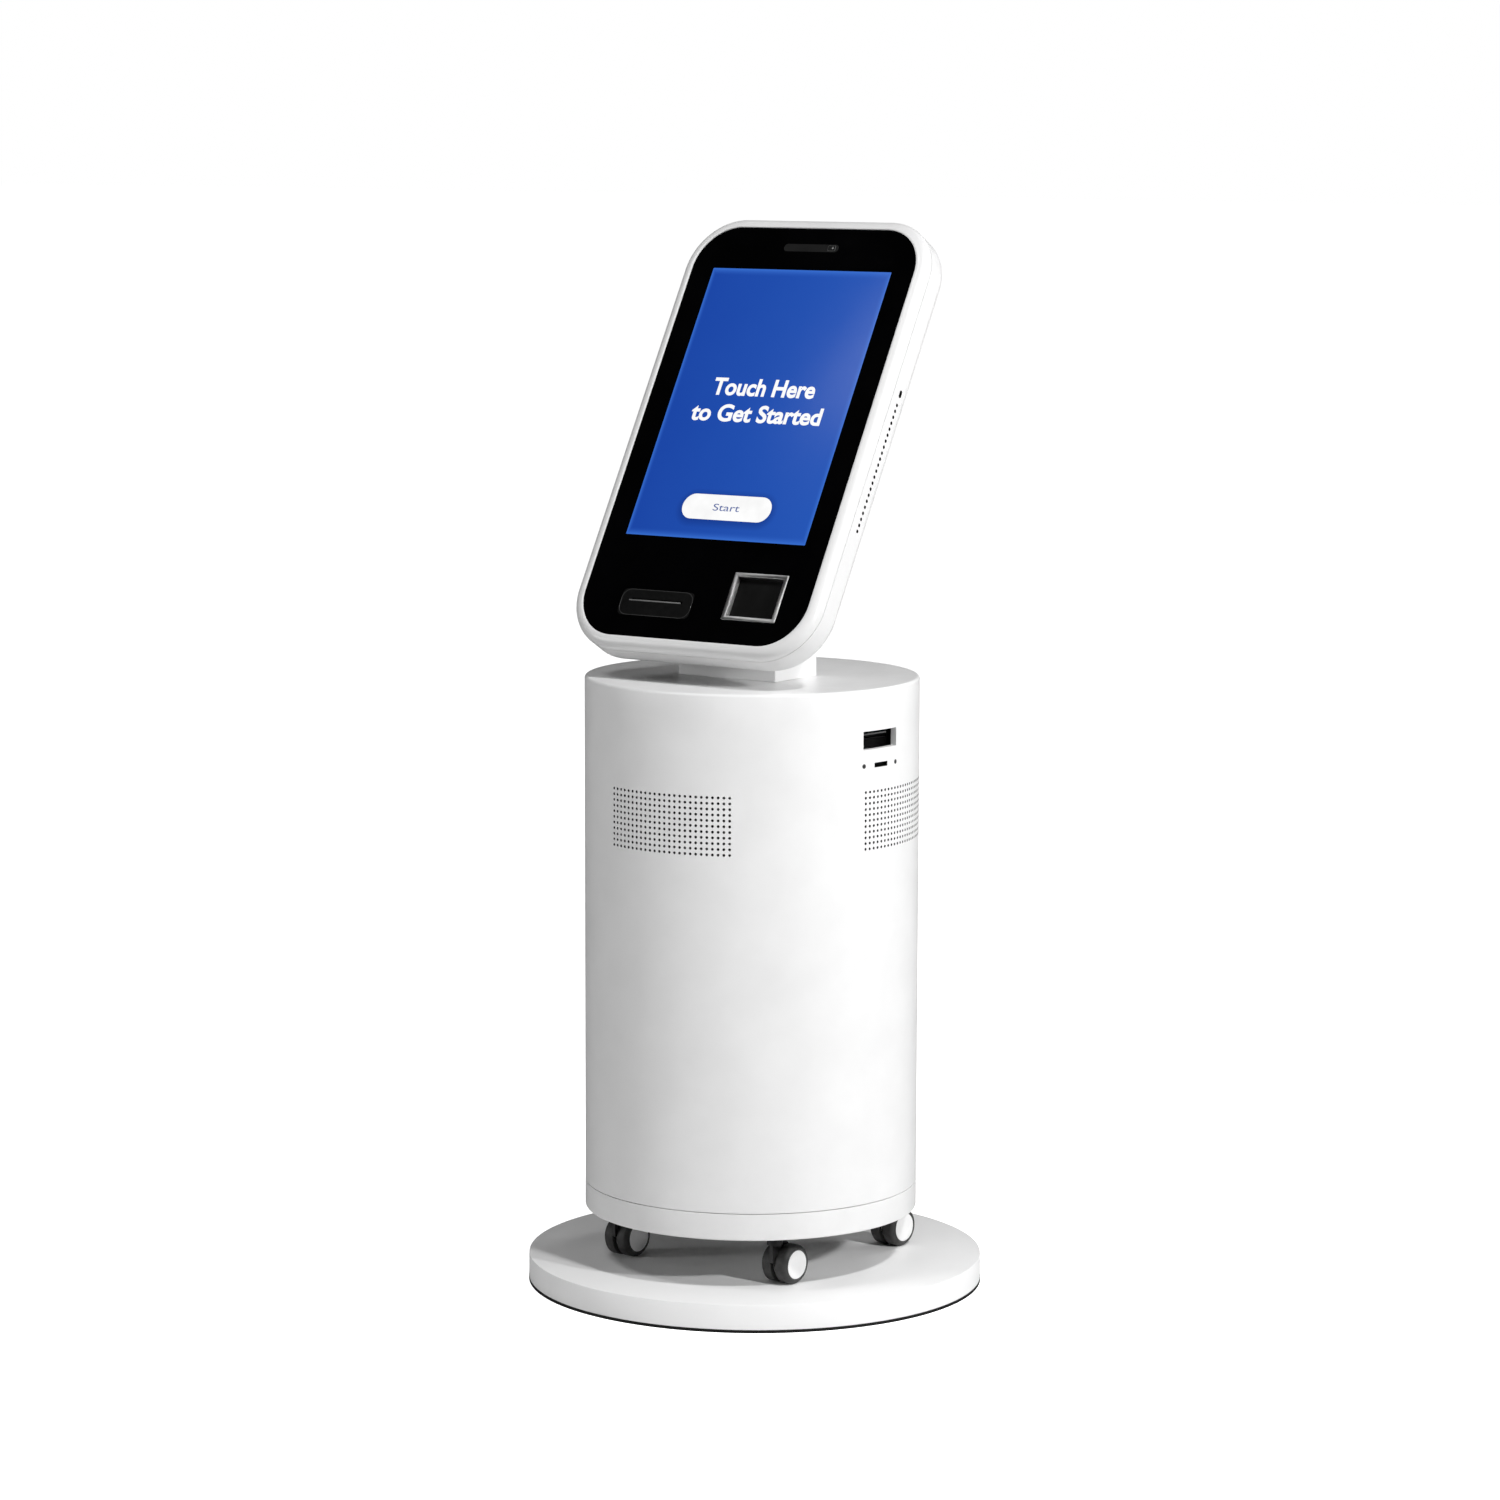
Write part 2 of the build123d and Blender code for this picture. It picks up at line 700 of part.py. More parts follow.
# Rocker: a round-backed key with two faces meeting in a shallow V
rocker_step = rocker_radius * 0.35
with BuildPart() as power_rocker:
    with BuildSketch(rocker_plane.offset(-rocker_width / 2)):
        Circle(rocker_radius)
        with BuildLine():
            Polyline(
                (rocker_step, 0),
                (rocker_step, 2 * rocker_radius),
                (3 * rocker_radius, 2 * rocker_radius),
                (3 * rocker_radius, -2 * rocker_radius),
                (rocker_step + 2 * rocker_radius * sin(radians(rocker_travel)), -2 * rocker_radius),
                close=True,
            )
        make_face(mode=Mode.SUBTRACT)
    extrude(amount=rocker_width)
save(power_rocker.part, "power_rocker")

# ---------------------------------------------------------------- equipment
lower_shelf_top = lower_shelf_height + shelf_thickness
upper_shelf_top = upper_shelf_height + shelf_thickness
with BuildPart() as computer:
    with BuildSketch(Plane.XY.offset(lower_shelf_top)):
        RectangleRounded(computer_size[0], computer_size[1], computer_corner)
    extrude(amount=computer_size[2])
    with BuildSketch(Plane.XZ.offset(computer_size[1] / 2 - 1)):
        with Locations((0, lower_shelf_top + computer_size[2] / 2)):
            with GridLocations(*cooling_slot_pitch, 8, 3):
                SlotOverall(cooling_slot_length, cooling_slot_width)
    extrude(amount=2, mode=Mode.SUBTRACT)
save(computer.part, "computer")

with BuildPart() as power_supply:
    with BuildSketch(Plane.XY.offset(base_top)):
        with Locations((0, supply_y)):
            RectangleRounded(supply_size[0], supply_size[1], supply_corner)
    extrude(amount=supply_size[2])
save(power_supply.part, "power_supply")

# Fan standing on the upper shelf behind the front vent
fan_back = inner_radius - fan_setback - fan_depth
fan_centre = upper_shelf_top + fan_side / 2
fan_screw_spacing = fan_side - 2 * fan_screw_inset
spider_reach = 2 * (rotor_radius + rotor_clearance) + 1.0
rotor_back = spider_thickness + rest_gap
rotor_front = fan_depth - spider_thickness
with BuildPart() as fan_frame:
    with BuildSketch(radial(0, fan_back, fan_centre)):
        RectangleRounded(fan_side, fan_side, fan_corner)
        Circle(rotor_radius + rotor_clearance, mode=Mode.SUBTRACT)
        with GridLocations(fan_screw_spacing, fan_screw_spacing, 2, 2):
            Circle(fan_screw_radius, mode=Mode.SUBTRACT)
    extrude(amount=fan_depth)
    with BuildSketch(radial(0, fan_back, fan_centre)):
        Circle(rotor_hub_radius)
        Rectangle(spider_reach, spider_width)
        Rectangle(spider_width, spider_reach)
    extrude(amount=spider_thickness)
    with BuildSketch(radial(0, fan_back, fan_centre)):
        Circle(rotor_shaft_radius)
    extrude(amount=rotor_front - rest_gap)
save(fan_frame.part, "fan_frame")

with BuildPart() as fan_rotor:
    with BuildSketch(radial(0, fan_back + rotor_back, fan_centre)):
        Circle(rotor_hub_radius)
        with PolarLocations((rotor_hub_radius + rotor_radius) / 2, blade_count):
            Rectangle(rotor_radius - rotor_hub_radius + blade_thickness, blade_width)
        Circle(rotor_radius, mode=Mode.INTERSECT)
    extrude(amount=blade_thickness)
    with BuildSketch(radial(0, fan_back + rotor_back, fan_centre)):
        Circle(rotor_hub_radius)
    extrude(amount=rotor_front - rotor_back + rotor_cap)
    with BuildSketch(radial(0, fan_back, fan_centre)):
        Circle(rotor_shaft_radius + running_gap)
    extrude(amount=rotor_front, mode=Mode.SUBTRACT)
save(fan_rotor.part, "fan_rotor")

# Receipt printer behind the outlet: housing with a roll bay open to the cabinet's middle
printer_face = body_radius - outlet_depth - outlet_wall - rest_gap
printer_back = printer_face - printer_depth
roll_depth = printer_back + roll_radius + roll_clearance
roll_height = upper_shelf_top + roll_radius + 2 * roll_clearance
roll_turn = radians(around(outlet_angle))
roll_plane = Plane(
    origin=(roll_depth * sin(roll_turn), -roll_depth * cos(roll_turn), roll_height),
    x_dir=(sin(roll_turn), -cos(roll_turn), 0),
    z_dir=(-cos(roll_turn), -sin(roll_turn), 0),
)
bay_width = roll_width + 2 * roll_side_gap
printer_height = outlet_height + printer_above_slot - upper_shelf_top
bay_height = 2 * (roll_radius + roll_clearance)
slot_reach = 10.0
with BuildPart() as receipt_printer:
    with BuildSketch(radial(outlet_angle, printer_back, upper_shelf_top)):
        with Locations((0, printer_height / 2)):
            Rectangle(printer_width, printer_height)
    extrude(amount=printer_depth)
    with BuildSketch(radial(outlet_angle, printer_back, roll_height)):
        Rectangle(bay_width, bay_height)
    extrude(amount=bay_height, mode=Mode.SUBTRACT)
    with BuildSketch(radial(outlet_angle, printer_face - slot_reach, outlet_height)):
        Rectangle(roll_width - 2 * roll_side_gap, paper_slot_height)
    extrude(amount=slot_reach, mode=Mode.SUBTRACT)
    with BuildSketch(roll_plane.offset(-bay_width / 2)):
        Circle(roll_core_radius - running_gap)
    extrude(amount=bay_width)
save(receipt_printer.part, "receipt_printer")

with BuildPart() as paper_roll:
    with BuildSketch(roll_plane.offset(-roll_width / 2)):
        Circle(roll_radius)
        Circle(roll_core_radius, mode=Mode.SUBTRACT)
    extrude(amount=roll_width)
save(paper_roll.part, "paper_roll")

# ---------------------------------------------------------------- head
tilt = radians(head_tilt)
face = Plane(
    origin=(0, screen_centre_y, screen_centre_height),
    x_dir=(1, 0, 0),
    z_dir=(0, -cos(tilt), sin(tilt)),
)
out_of_glass = Axis((0, screen_centre_y, screen_centre_height), (0, -cos(tilt), sin(tilt)))


def head_outline(depth, inset):
    """Head's rounded outline, moved inwards by an inset, on a plane at a depth."""
    with BuildSketch(face.offset(depth)) as outline:
        with Locations((0, head_middle)):
            RectangleRounded(
                2 * (head_half_width - inset),
                head_length - 2 * inset,
                head_corner_radius - inset,
            )
    return outline.sketch


def face_block(width, height, x, y, low, high, corner=0.5):
    """Block in the head's plane, from one depth to another."""
    with BuildPart() as block:
        with BuildSketch(face.offset(low)):
            with Locations((x, y)):
                RectangleRounded(width, height, corner)
        extrude(amount=high - low)
    return block.part


# Front rim with a soft outer edge, a ledge under the glass and a lip inside the rear shell
lip_inset = head_wall + rest_gap
with BuildPart() as front_rim:
    extrude(head_outline(frame_back, 0), amount=frame_depth + frame_proud)
    fillet(front_rim.faces().sort_by(out_of_glass)[-1].edges(), radius=frame_edge_radius)
    glass_seat = head_outline(glass_back, rim_width - glass_gap)
    extrude(glass_seat, amount=glass_thickness + frame_proud, mode=Mode.SUBTRACT)
    extrude(head_outline(frame_back, rim_width + ledge_inset), amount=frame_depth, mode=Mode.SUBTRACT)
    lip_back = frame_back - lip_depth
    extrude(head_outline(lip_back, lip_inset), amount=lip_depth)
    extrude(head_outline(lip_back, lip_inset + head_wall), amount=lip_depth, mode=Mode.SUBTRACT)
save(front_rim.part, "front_rim")

# Rear shell: a deep tray with chassis bosses and the row of speaker holes
boss_places = [(x, y) for x in (-boss_x, boss_x) for y in boss_rows]
hole_places = [(side_hole_top - k * side_hole_pitch, 0) for k in range(side_hole_count)]
tray_step = back_edge_radius / 2
side_plane = Plane(
    origin=face.from_local_coords((head_half_width - head_wall - 1, 0, -side_hole_depth)),
    x_dir=(0, sin(tilt), cos(tilt)),
    z_dir=(1, 0, 0),
)
with BuildPart() as rear_shell:
    extrude(head_outline(-head_depth, 0), amount=head_depth + shell_front)
    fillet(rear_shell.faces().sort_by(out_of_glass)[0].edges(), radius=back_edge_radius)
    extrude(head_outline(tray_floor, head_wall + tray_step), amount=head_depth, mode=Mode.SUBTRACT)
    extrude(head_outline(tray_floor + tray_step, head_wall), amount=head_depth, mode=Mode.SUBTRACT)
    with BuildSketch(face.offset(tray_floor)):
        with Locations(*boss_places):
            Circle(chassis_boss_radius)
    extrude(amount=chassis_back - tray_floor)
    with BuildSketch(side_plane):
        with Locations(*hole_places):
            Circle(side_hole_radius)
        with Locations((side_oval_y, 0)):
            SlotOverall(side_oval_length, side_oval_width)
    extrude(amount=head_wall + 2, mode=Mode.SUBTRACT)
save(rear_shell.part, "rear_shell")

# Cover glass with openings for the card mouth, the scanner and the sensor window
with BuildPart() as cover_glass:
    extrude(head_outline(glass_back, rim_width), amount=glass_thickness)
    add(
        face_block(card_width, card_height, card_x, card_y, glass_back, 1, card_corner),
        mode=Mode.SUBTRACT,
    )
    add(
        face_block(scanner_width, scanner_height, scanner_x, scanner_y, glass_back, 1),
        mode=Mode.SUBTRACT,
    )
    with BuildSketch(face.offset(glass_back)):
        with Locations((sensor_x, sensor_y)):
            SlotOverall(sensor_width, sensor_height)
    extrude(amount=glass_thickness, mode=Mode.SUBTRACT)
save(cover_glass.part, "cover_glass")

display_panel = face_block(
    display_width + 2 * display_border,
    display_length + 2 * display_border,
    0,
    0,
    display_back,
    glass_back,
    display_corner,
)
save(display_panel, "display_panel")

# Chassis plate on the shell's bosses, behind the display; the readers are below it
chassis_low = scanner_y + scanner_height / 2 + chassis_margin / 2
chassis_high = head_up - head_wall - 2 * chassis_margin
chassis = face_block(
    2 * (glass_half_width - ledge_inset - chassis_margin),
    chassis_high - chassis_low,
    0,
    (chassis_high + chassis_low) / 2,
    chassis_back,
    display_back,
    chassis_corner,
)
save(chassis, "head_chassis")

# Display driver board on four spacers behind the chassis
driver_front = chassis_back - driver_standoff
with BuildPart() as driver_board:
    with BuildSketch(face.offset(driver_front)):
        with Locations(driver_place):
            Rectangle(driver_width, driver_height)
    extrude(amount=-board_thickness)
    with BuildSketch(face.offset(driver_front)):
        with Locations(driver_place):
            with GridLocations(driver_width - 2 * spacer_inset, driver_height - 2 * spacer_inset, 2, 2):
                Circle(spacer_radius)
    extrude(amount=driver_standoff)
    with BuildSketch(face.offset(driver_front - board_thickness)):
        with Locations(chip_place):
            Rectangle(chip_side, chip_side)
        with Locations(plug_place):
            Rectangle(*plug_size)
    extrude(amount=-chip_height)
save(driver_board.part, "driver_board")

with BuildPart() as sensor_window:
    with BuildSketch(face.offset(glass_back)):
        with Locations((sensor_x, sensor_y)):
            SlotOverall(sensor_width, sensor_height)
    extrude(amount=glass_thickness)
save(sensor_window.part, "sensor_window")

camera_back = glass_back - camera_depth
with BuildPart() as camera_module:
    add(face_block(camera_width, camera_height, camera_x, sensor_y, camera_back, glass_back))
    add(
        face_block(
            camera_board_width,
            camera_board_height,
            sensor_x,
            sensor_y,
            camera_back - board_thickness,
            camera_back,
        )
    )
save(camera_module.part, "camera_module")

# Card mouth: a flush bezel with the slit, and the reader behind it
card_slit_y = card_y + card_slit_rise
card_reader_back = -card_mouth_depth - card_reader_depth
with BuildPart() as card_mouth:
    add(
        face_block(
            card_width,
            card_height,
            card_x,
            card_y,
            -card_mouth_depth,
            card_mouth_proud,
            card_corner,
        )
    )
    with BuildSketch(face.offset(-card_mouth_depth)):
        with Locations((card_x, card_slit_y)):
            SlotOverall(card_slit_width, card_slit_height)
    extrude(amount=2 * card_mouth_depth, mode=Mode.SUBTRACT)
save(card_mouth.part, "card_mouth")

with BuildPart() as card_reader:
    add(
        face_block(
            card_width - 2 * card_reader_margin,
            card_height - card_reader_margin,
            card_x,
            card_y,
            card_reader_back,
            -card_mouth_depth,
        )
    )
    with BuildSketch(face.offset(card_reader_back + card_reader_floor)):
        with Locations((card_x, card_slit_y)):
            Rectangle(card_slit_width, card_slit_height)
    extrude(amount=card_reader_depth, mode=Mode.SUBTRACT)
save(card_reader.part, "card_reader")

# Scanner: metal frame through the glass, recessed window, and the module behind
window_width = scanner_width - 2 * scanner_rim
window_height = scanner_height - 2 * scanner_rim
scanner_back = -scanner_recess - scanner_window_thickness
with BuildPart() as scanner_frame:
    add(
        face_block(
            scanner_width,
            scanner_height,
            scanner_x,
            scanner_y,
            scanner_back,
            scanner_frame_proud,
        )
    )
    add(
        face_block(
            window_width,
            window_height,
            scanner_x,
            scanner_y,
            scanner_back,
            2 * scanner_frame_proud,
        ),
        mode=Mode.SUBTRACT,
    )
save(scanner_frame.part, "scanner_frame")

scanner_window = face_block(
    window_width,
    window_height,
    scanner_x,
    scanner_y,
    scanner_back,
    -scanner_recess,
)
save(scanner_window, "scanner_window")

scanner_module = face_block(
    scanner_width - 2 * scanner_module_inset,
    scanner_height - 2 * scanner_module_inset,
    scanner_x,
    scanner_y,
    scanner_back - scanner_depth,
    scanner_back,
    scanner_module_corner,
)
save(scanner_module, "scanner_module")

# Slim speaker against the right wall, behind the row of holes
speaker_middle = (side_oval_y + side_hole_top - (side_hole_count - 1) * side_hole_pitch) / 2
with BuildPart() as speaker:
    with BuildSketch(side_plane.offset(-speaker_thickness + 1)):
        with Locations((speaker_middle, 0)):
            RectangleRounded(speaker_length, speaker_height, speaker_corner)
    extrude(amount=speaker_thickness)
save(speaker.part, "speaker")

# ---------------------------------------------------------------- neck
neck_reach = screen_above_top
with BuildPart() as neck_post:
    with BuildSketch(Plane.XY.offset(neck_low)):
        with Locations((0, neck_setback)):
            Rectangle(neck_width, neck_depth)
    extrude(amount=neck_reach)
    fillet(neck_post.edges().filter_by(Axis.Z), radius=neck_edge_radius)
    with BuildSketch(Plane.XY.offset(neck_low + neck_floor)):
        with Locations((0, neck_setback)):
            Rectangle(neck_width - 2 * neck_wall, neck_depth - 2 * neck_wall)
    extrude(amount=neck_reach, mode=Mode.SUBTRACT)
    with BuildSketch(Plane.XY.offset(neck_low)):
        Circle(spigot_radius)
    extrude(amount=neck_floor, mode=Mode.SUBTRACT)
    split(bisect_by=face.offset(-head_depth), keep=Keep.BOTTOM)
save(neck_post.part, "neck_post")

# Spigot: flange inside the neck's floor, tube down through the cabinet's top
spigot_top = neck_low + neck_floor
collar_top = stiffener_low - rest_gap
spigot_low = collar_top - 2 * collar_height
with BuildPart() as neck_spigot:
    with BuildSketch(Plane.XY.offset(spigot_top)):
        Circle(spigot_flange_radius)
        with Locations((0, neck_setback)):
            Rectangle(neck_width - 2 * neck_wall - 2, neck_depth - 2 * neck_wall - 2, mode=Mode.INTERSECT)
    extrude(amount=spigot_flange_thickness)
    with BuildSketch(Plane.XY.offset(spigot_low)):
        Circle(spigot_radius)
    extrude(amount=spigot_top - spigot_low)
    with BuildSketch(Plane.XY.offset(spigot_low)):
        Circle(spigot_bore_radius)
    extrude(amount=spigot_top + 2 * spigot_flange_thickness - spigot_low, mode=Mode.SUBTRACT)
save(neck_spigot.part, "neck_spigot")

save(tube(collar_radius, spigot_radius, collar_top - collar_height, collar_top), "retaining_collar")

# ---------------------------------------------------------------- casters
swivel = radians(caster_turn)
axle_half_length = wheel_gap / 2 + wheel_width - hub_cap - rest_gap


def wheel_plane(x, y):
    """Plane across a caster's axle: X backwards, Y up, Z along the axle."""
    return Plane(
        origin=(x - caster_trail * sin(swivel), y + caster_trail * cos(swivel), wheel_radius),
        x_dir=(-sin(swivel), cos(swivel), 0),
        z_dir=(cos(swivel), sin(swivel), 0),
    )


def caster_housing(x, y):
    """Web between the wheels, axle through it, boss and stem on the swivel axis."""
    plane = wheel_plane(x, y)
    web_low = wheel_radius + housing_clearance
    boss_low = 2 * wheel_radius + boss_clearance
    stem_low = base_low - socket_flange_thickness - rest_gap
    with BuildPart() as housing:
        with BuildSketch(plane.offset(-caster_web / 2)):
            Circle(hub_radius)
            with BuildLine():
                Polyline(
                    (-caster_trail - boss_radius * 0.7, web_low - wheel_radius),
                    (-caster_trail - boss_radius * 0.7, stem_low - wheel_radius),
                    (-caster_trail + boss_radius * 0.7, stem_low - wheel_radius),
                    (hub_radius * 0.7, hub_radius * 0.7),
                    (0, -hub_radius * 0.5),
                    close=True,
                )
            make_face()
        extrude(amount=caster_web)
        with BuildSketch(plane.offset(-axle_half_length)):
            Circle(axle_radius)
        extrude(amount=2 * axle_half_length)
        with BuildSketch(Plane.XY.offset(boss_low)):
            with Locations((x, y)):
                Circle(boss_radius)
        extrude(amount=stem_low - boss_low)
        with BuildSketch(Plane.XY.offset(stem_low)):
            with Locations((x, y)):
                Circle(stem_radius)
        extrude(amount=socket_height)
    return housing.part


def caster_tyre(x, y, side):
    """Tread ring of one wheel, bevelled on its outer side."""
    inside = wheel_gap / 2
    with BuildPart() as tyre:
        with BuildSketch(wheel_plane(x, y).offset(side * inside)):
            Circle(wheel_radius)
        extrude(amount=side * wheel_width)
        axle = Axis((x, y, wheel_radius), (side * cos(swivel), side * sin(swivel), 0))
        chamfer(tyre.faces().sort_by(axle)[-1].edges(), length=tyre_bevel)
        with BuildSketch(wheel_plane(x, y).offset(side * inside)):
            Circle(hub_radius)
        extrude(amount=side * wheel_width, mode=Mode.SUBTRACT)
    return tyre.part


def caster_hub(x, y, side):
    """Hub disc of one wheel with its blind axle bore and flat cap."""
    inside = wheel_gap / 2
    with BuildPart() as hub:
        with BuildSketch(wheel_plane(x, y).offset(side * inside)):
            Circle(hub_radius)
        extrude(amount=side * (wheel_width + hub_proud))
        with BuildSketch(wheel_plane(x, y).offset(side * inside)):
            Circle(axle_radius + running_gap)
        extrude(amount=side * (wheel_width - hub_cap), mode=Mode.SUBTRACT)
    return hub.part


caster_places = {
    "front_left": (-caster_half_spacing, -caster_half_spacing),
    "front_right": (caster_half_spacing, -caster_half_spacing),
    "rear_left": (-caster_half_spacing, caster_half_spacing),
    "rear_right": (caster_half_spacing, caster_half_spacing),
}
for corner, place in caster_places.items():
    save(caster_housing(*place), f"{corner}_caster_housing")
    for wheel_name, side in (("inner", -1), ("outer", 1)):
        save(caster_tyre(*place, side), f"{corner}_{wheel_name}_tyre")
        save(caster_hub(*place, side), f"{corner}_{wheel_name}_hub")
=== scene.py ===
import bmesh
import bpy
from math import asin, ceil, cos, pi, radians, sin
from mathutils import Matrix, Vector


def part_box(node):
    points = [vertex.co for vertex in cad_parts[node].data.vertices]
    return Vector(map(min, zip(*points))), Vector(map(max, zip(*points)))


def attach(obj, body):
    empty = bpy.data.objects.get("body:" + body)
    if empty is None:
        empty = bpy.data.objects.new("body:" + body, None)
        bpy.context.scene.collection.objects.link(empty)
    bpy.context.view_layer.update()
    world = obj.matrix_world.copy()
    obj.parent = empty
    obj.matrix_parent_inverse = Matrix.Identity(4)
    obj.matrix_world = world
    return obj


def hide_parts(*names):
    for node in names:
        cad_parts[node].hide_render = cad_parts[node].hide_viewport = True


# Touchscreen kiosk: finishes, fine shapes, camera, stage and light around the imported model.
# Metres, +Z up, the screen faces -Y. Angles round the cabinet count from its own front towards +X.

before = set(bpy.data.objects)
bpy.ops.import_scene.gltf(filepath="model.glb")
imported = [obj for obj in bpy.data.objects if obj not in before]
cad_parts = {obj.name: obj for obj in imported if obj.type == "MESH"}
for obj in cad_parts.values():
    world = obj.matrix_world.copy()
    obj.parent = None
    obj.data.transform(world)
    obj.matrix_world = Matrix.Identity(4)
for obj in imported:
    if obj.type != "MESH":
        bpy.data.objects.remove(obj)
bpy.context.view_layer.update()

MM = 0.001

# ---------------------------------------------------------------- places read from the model
shell_low, shell_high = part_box("cabinet_shell")
skirt_low, skirt_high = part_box("skirt_ring")
door_low, door_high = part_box("service_door")
display_low, display_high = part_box("display_panel")
body_radius = shell_high.x
cabinet_front = radians(4.4)

head_tilt = radians(30)
out_of_glass = Vector((0, -cos(head_tilt), sin(head_tilt)))
display_middle_depth = 10 * MM
screen_centre = (display_low + display_high) / 2 + out_of_glass * display_middle_depth
lean = Matrix.Rotation(radians(90) - head_tilt, 4, "X")
head_place = Matrix.Translation(screen_centre) @ lean

# ---------------------------------------------------------------- sizes of the cabinet
shell_wall = 2.5 * MM
top_edge = 3.5 * MM
vent_columns = 25
vent_rows = 11
vent_pitch_angle = radians(1.934)
vent_pitch = 6.36 * MM
vent_hole_radius = 1.6 * MM
vent_height = 524.4 * MM
vent_angles = (0, radians(95.4))
outlet_angle = radians(79.6)
outlet_height = 614 * MM
outlet_window = (61 * MM, 24.6 * MM)
port_height = 585.6 * MM
port_window = (22.4 * MM, 5.4 * MM)
port_screw_offset = 27.4 * MM
screw_seat_radius = 2.6 * MM
inlet_height = 120 * MM
inlet_window = (50 * MM, 27 * MM)
door_half_angle = radians(35)
door_gap = 0.8 * MM
drum_seam = radians(-90)
column_step = radians(3.2)
row_step = 40 * MM
# Insets of the rings in the flat top; the last is the opening for the head's spigot
top_rings = (60 * MM, 120 * MM, 164 * MM)

# ---------------------------------------------------------------- sizes of the head
head_width = 332 * MM
head_length = 545 * MM
head_middle = -35.5 * MM
head_corner = 67 * MM
head_depth = 47 * MM
rim_back = 12 * MM
rim_proud = 1.5 * MM
rim_edge = 11 * MM
glass_seat = 13 * MM
glass_thickness = 4 * MM
glass_ledge = 20.8 * MM
reveal = 0.8 * MM
back_edge = 14 * MM
head_wall = 3 * MM
rim_tongue = (3.3 * MM, 6.3 * MM)
rim_tongue_depth = 6 * MM
glass_chamfer = 0.15 * MM
glass_soft_edge = 0.5 * MM
side_hole_radius = 2.1 * MM
side_hole_pitch = 7.43 * MM
side_hole_count = 22
side_hole_top = 18.1 * MM
side_hole_depth = 26 * MM
side_oval = (31.9 * MM, 9 * MM, 5.6 * MM)
side_oval_margin = 1.5 * MM

# ---------------------------------------------------------------- camera, stage and light
camera_place = Vector((3.0164, -4.3150, 1.2997))
camera_heading = radians(34.98)
camera_pitch = radians(-7.74)
camera_roll = radians(0.16)
camera_lens = 112.2
podium_radius = 260.5 * MM
podium_centre = Vector((-5 * MM, 15.6 * MM, 0))
podium_thickness = 28 * MM
# Height of the painted contact shadow band under the podium
podium_shadow_band = 3.5 * MM
floor_level = -podium_thickness - podium_shadow_band
floor_reach = 60

camera_data = bpy.data.cameras.new("camera")
camera_data.lens = camera_lens
camera_data.sensor_width = 36
camera_data.clip_end = 200
camera = bpy.data.objects.new("camera", camera_data)
bpy.context.scene.collection.objects.link(camera)
camera.matrix_world = (
    Matrix.Translation(camera_place)
    @ Matrix.Rotation(camera_heading, 4, "Z")
    @ Matrix.Rotation(radians(90) + camera_pitch, 4, "X")
    @ Matrix.Rotation(camera_roll, 4, "Z")
)
bpy.context.scene.camera = camera
bpy.context.scene.view_settings.view_transform = "Standard"


# ---------------------------------------------------------------- finishes
dust_colour = (0.36, 0.34, 0.31, 1)
dust_top = 110 * MM
noise_spread = (0.3, 0.7)


def grey(level):
    """Neutral colour."""
    return (level, level, level, 1)


def start_finish(name, roughness, metallic=0.0, specular=0.5):
    """Principled material with its constant values set on the shader's own sockets."""
    finish = bpy.data.materials.new(name)
    finish.use_nodes = True
    nodes = finish.node_tree.nodes
    shader = nodes["Principled BSDF"]
    shader.inputs["Metallic"].default_value = metallic
    shader.inputs["Roughness"].default_value = roughness
    shader.inputs["Specular IOR Level"].default_value = specular
    return finish, nodes, finish.node_tree.links, shader


def coordinates(nodes, links, scale=(1, 1, 1), kind="POINT", location=(0, 0, 0), rotation=(0, 0, 0)):
    """Object coordinates through a Mapping node."""
    source = nodes.new("ShaderNodeTexCoord")
    mapping = nodes.new("ShaderNodeMapping")
    mapping.vector_type = kind
    mapping.inputs["Location"].default_value = location
    mapping.inputs["Rotation"].default_value = rotation
    mapping.inputs["Scale"].default_value = scale
    links.new(source.outputs["Object"], mapping.inputs["Vector"])
    return mapping.outputs["Vector"]


def noise(nodes, links, vector, size, detail=3.0):
    """Noise whose blotches are about a size across, from 0 to 1."""
    texture = nodes.new("ShaderNodeTexNoise")
    texture.inputs["Scale"].default_value = 1 / size
    texture.inputs["Detail"].default_value = detail
    links.new(vector, texture.inputs["Vector"])
    return texture.outputs["Fac"]


def between(nodes, links, value, low, high, from_low=0.0, from_high=1.0):
    """Value carried from one range to another, clamped."""
    ranged = nodes.new("ShaderNodeMapRange")
    ranged.inputs["From Min"].default_value = from_low
    ranged.inputs["From Max"].default_value = from_high
    ranged.inputs["To Min"].default_value = low
    ranged.inputs["To Max"].default_value = high
    links.new(value, ranged.inputs["Value"])
    return ranged.outputs["Result"]


def blend_colours(nodes, links, share, first, second):
    """Mix of two colours, each a colour or a socket."""
    mix = nodes.new("ShaderNodeMix")
    mix.data_type = "RGBA"
    links.new(share, mix.inputs["Factor"])
    for socket, colour in ((mix.inputs["A"], first), (mix.inputs["B"], second)):
        if isinstance(colour, bpy.types.NodeSocket):
            links.new(colour, socket)
        else:
            socket.default_value = colour
    return mix.outputs["Result"]


def combine(nodes, links, operation, first, second=None):
    """Math node on two values, each a number or a socket."""
    node = nodes.new("ShaderNodeMath")
    node.operation = operation
    for socket, value in zip(node.inputs, (first, second)):
        if isinstance(value, bpy.types.NodeSocket):
            links.new(value, socket)
        elif value is not None:
            socket.default_value = value
    return node.outputs["Value"]


def press_grain(nodes, links, shader, height, depth, strength=1.0):
    """Bump the shader's surface with a height from 0 to 1."""
    bump = nodes.new("ShaderNodeBump")
    bump.inputs["Distance"].default_value = depth
    bump.inputs["Strength"].default_value = strength
    links.new(height, bump.inputs["Height"])
    links.new(bump.outputs["Normal"], shader.inputs["Normal"])


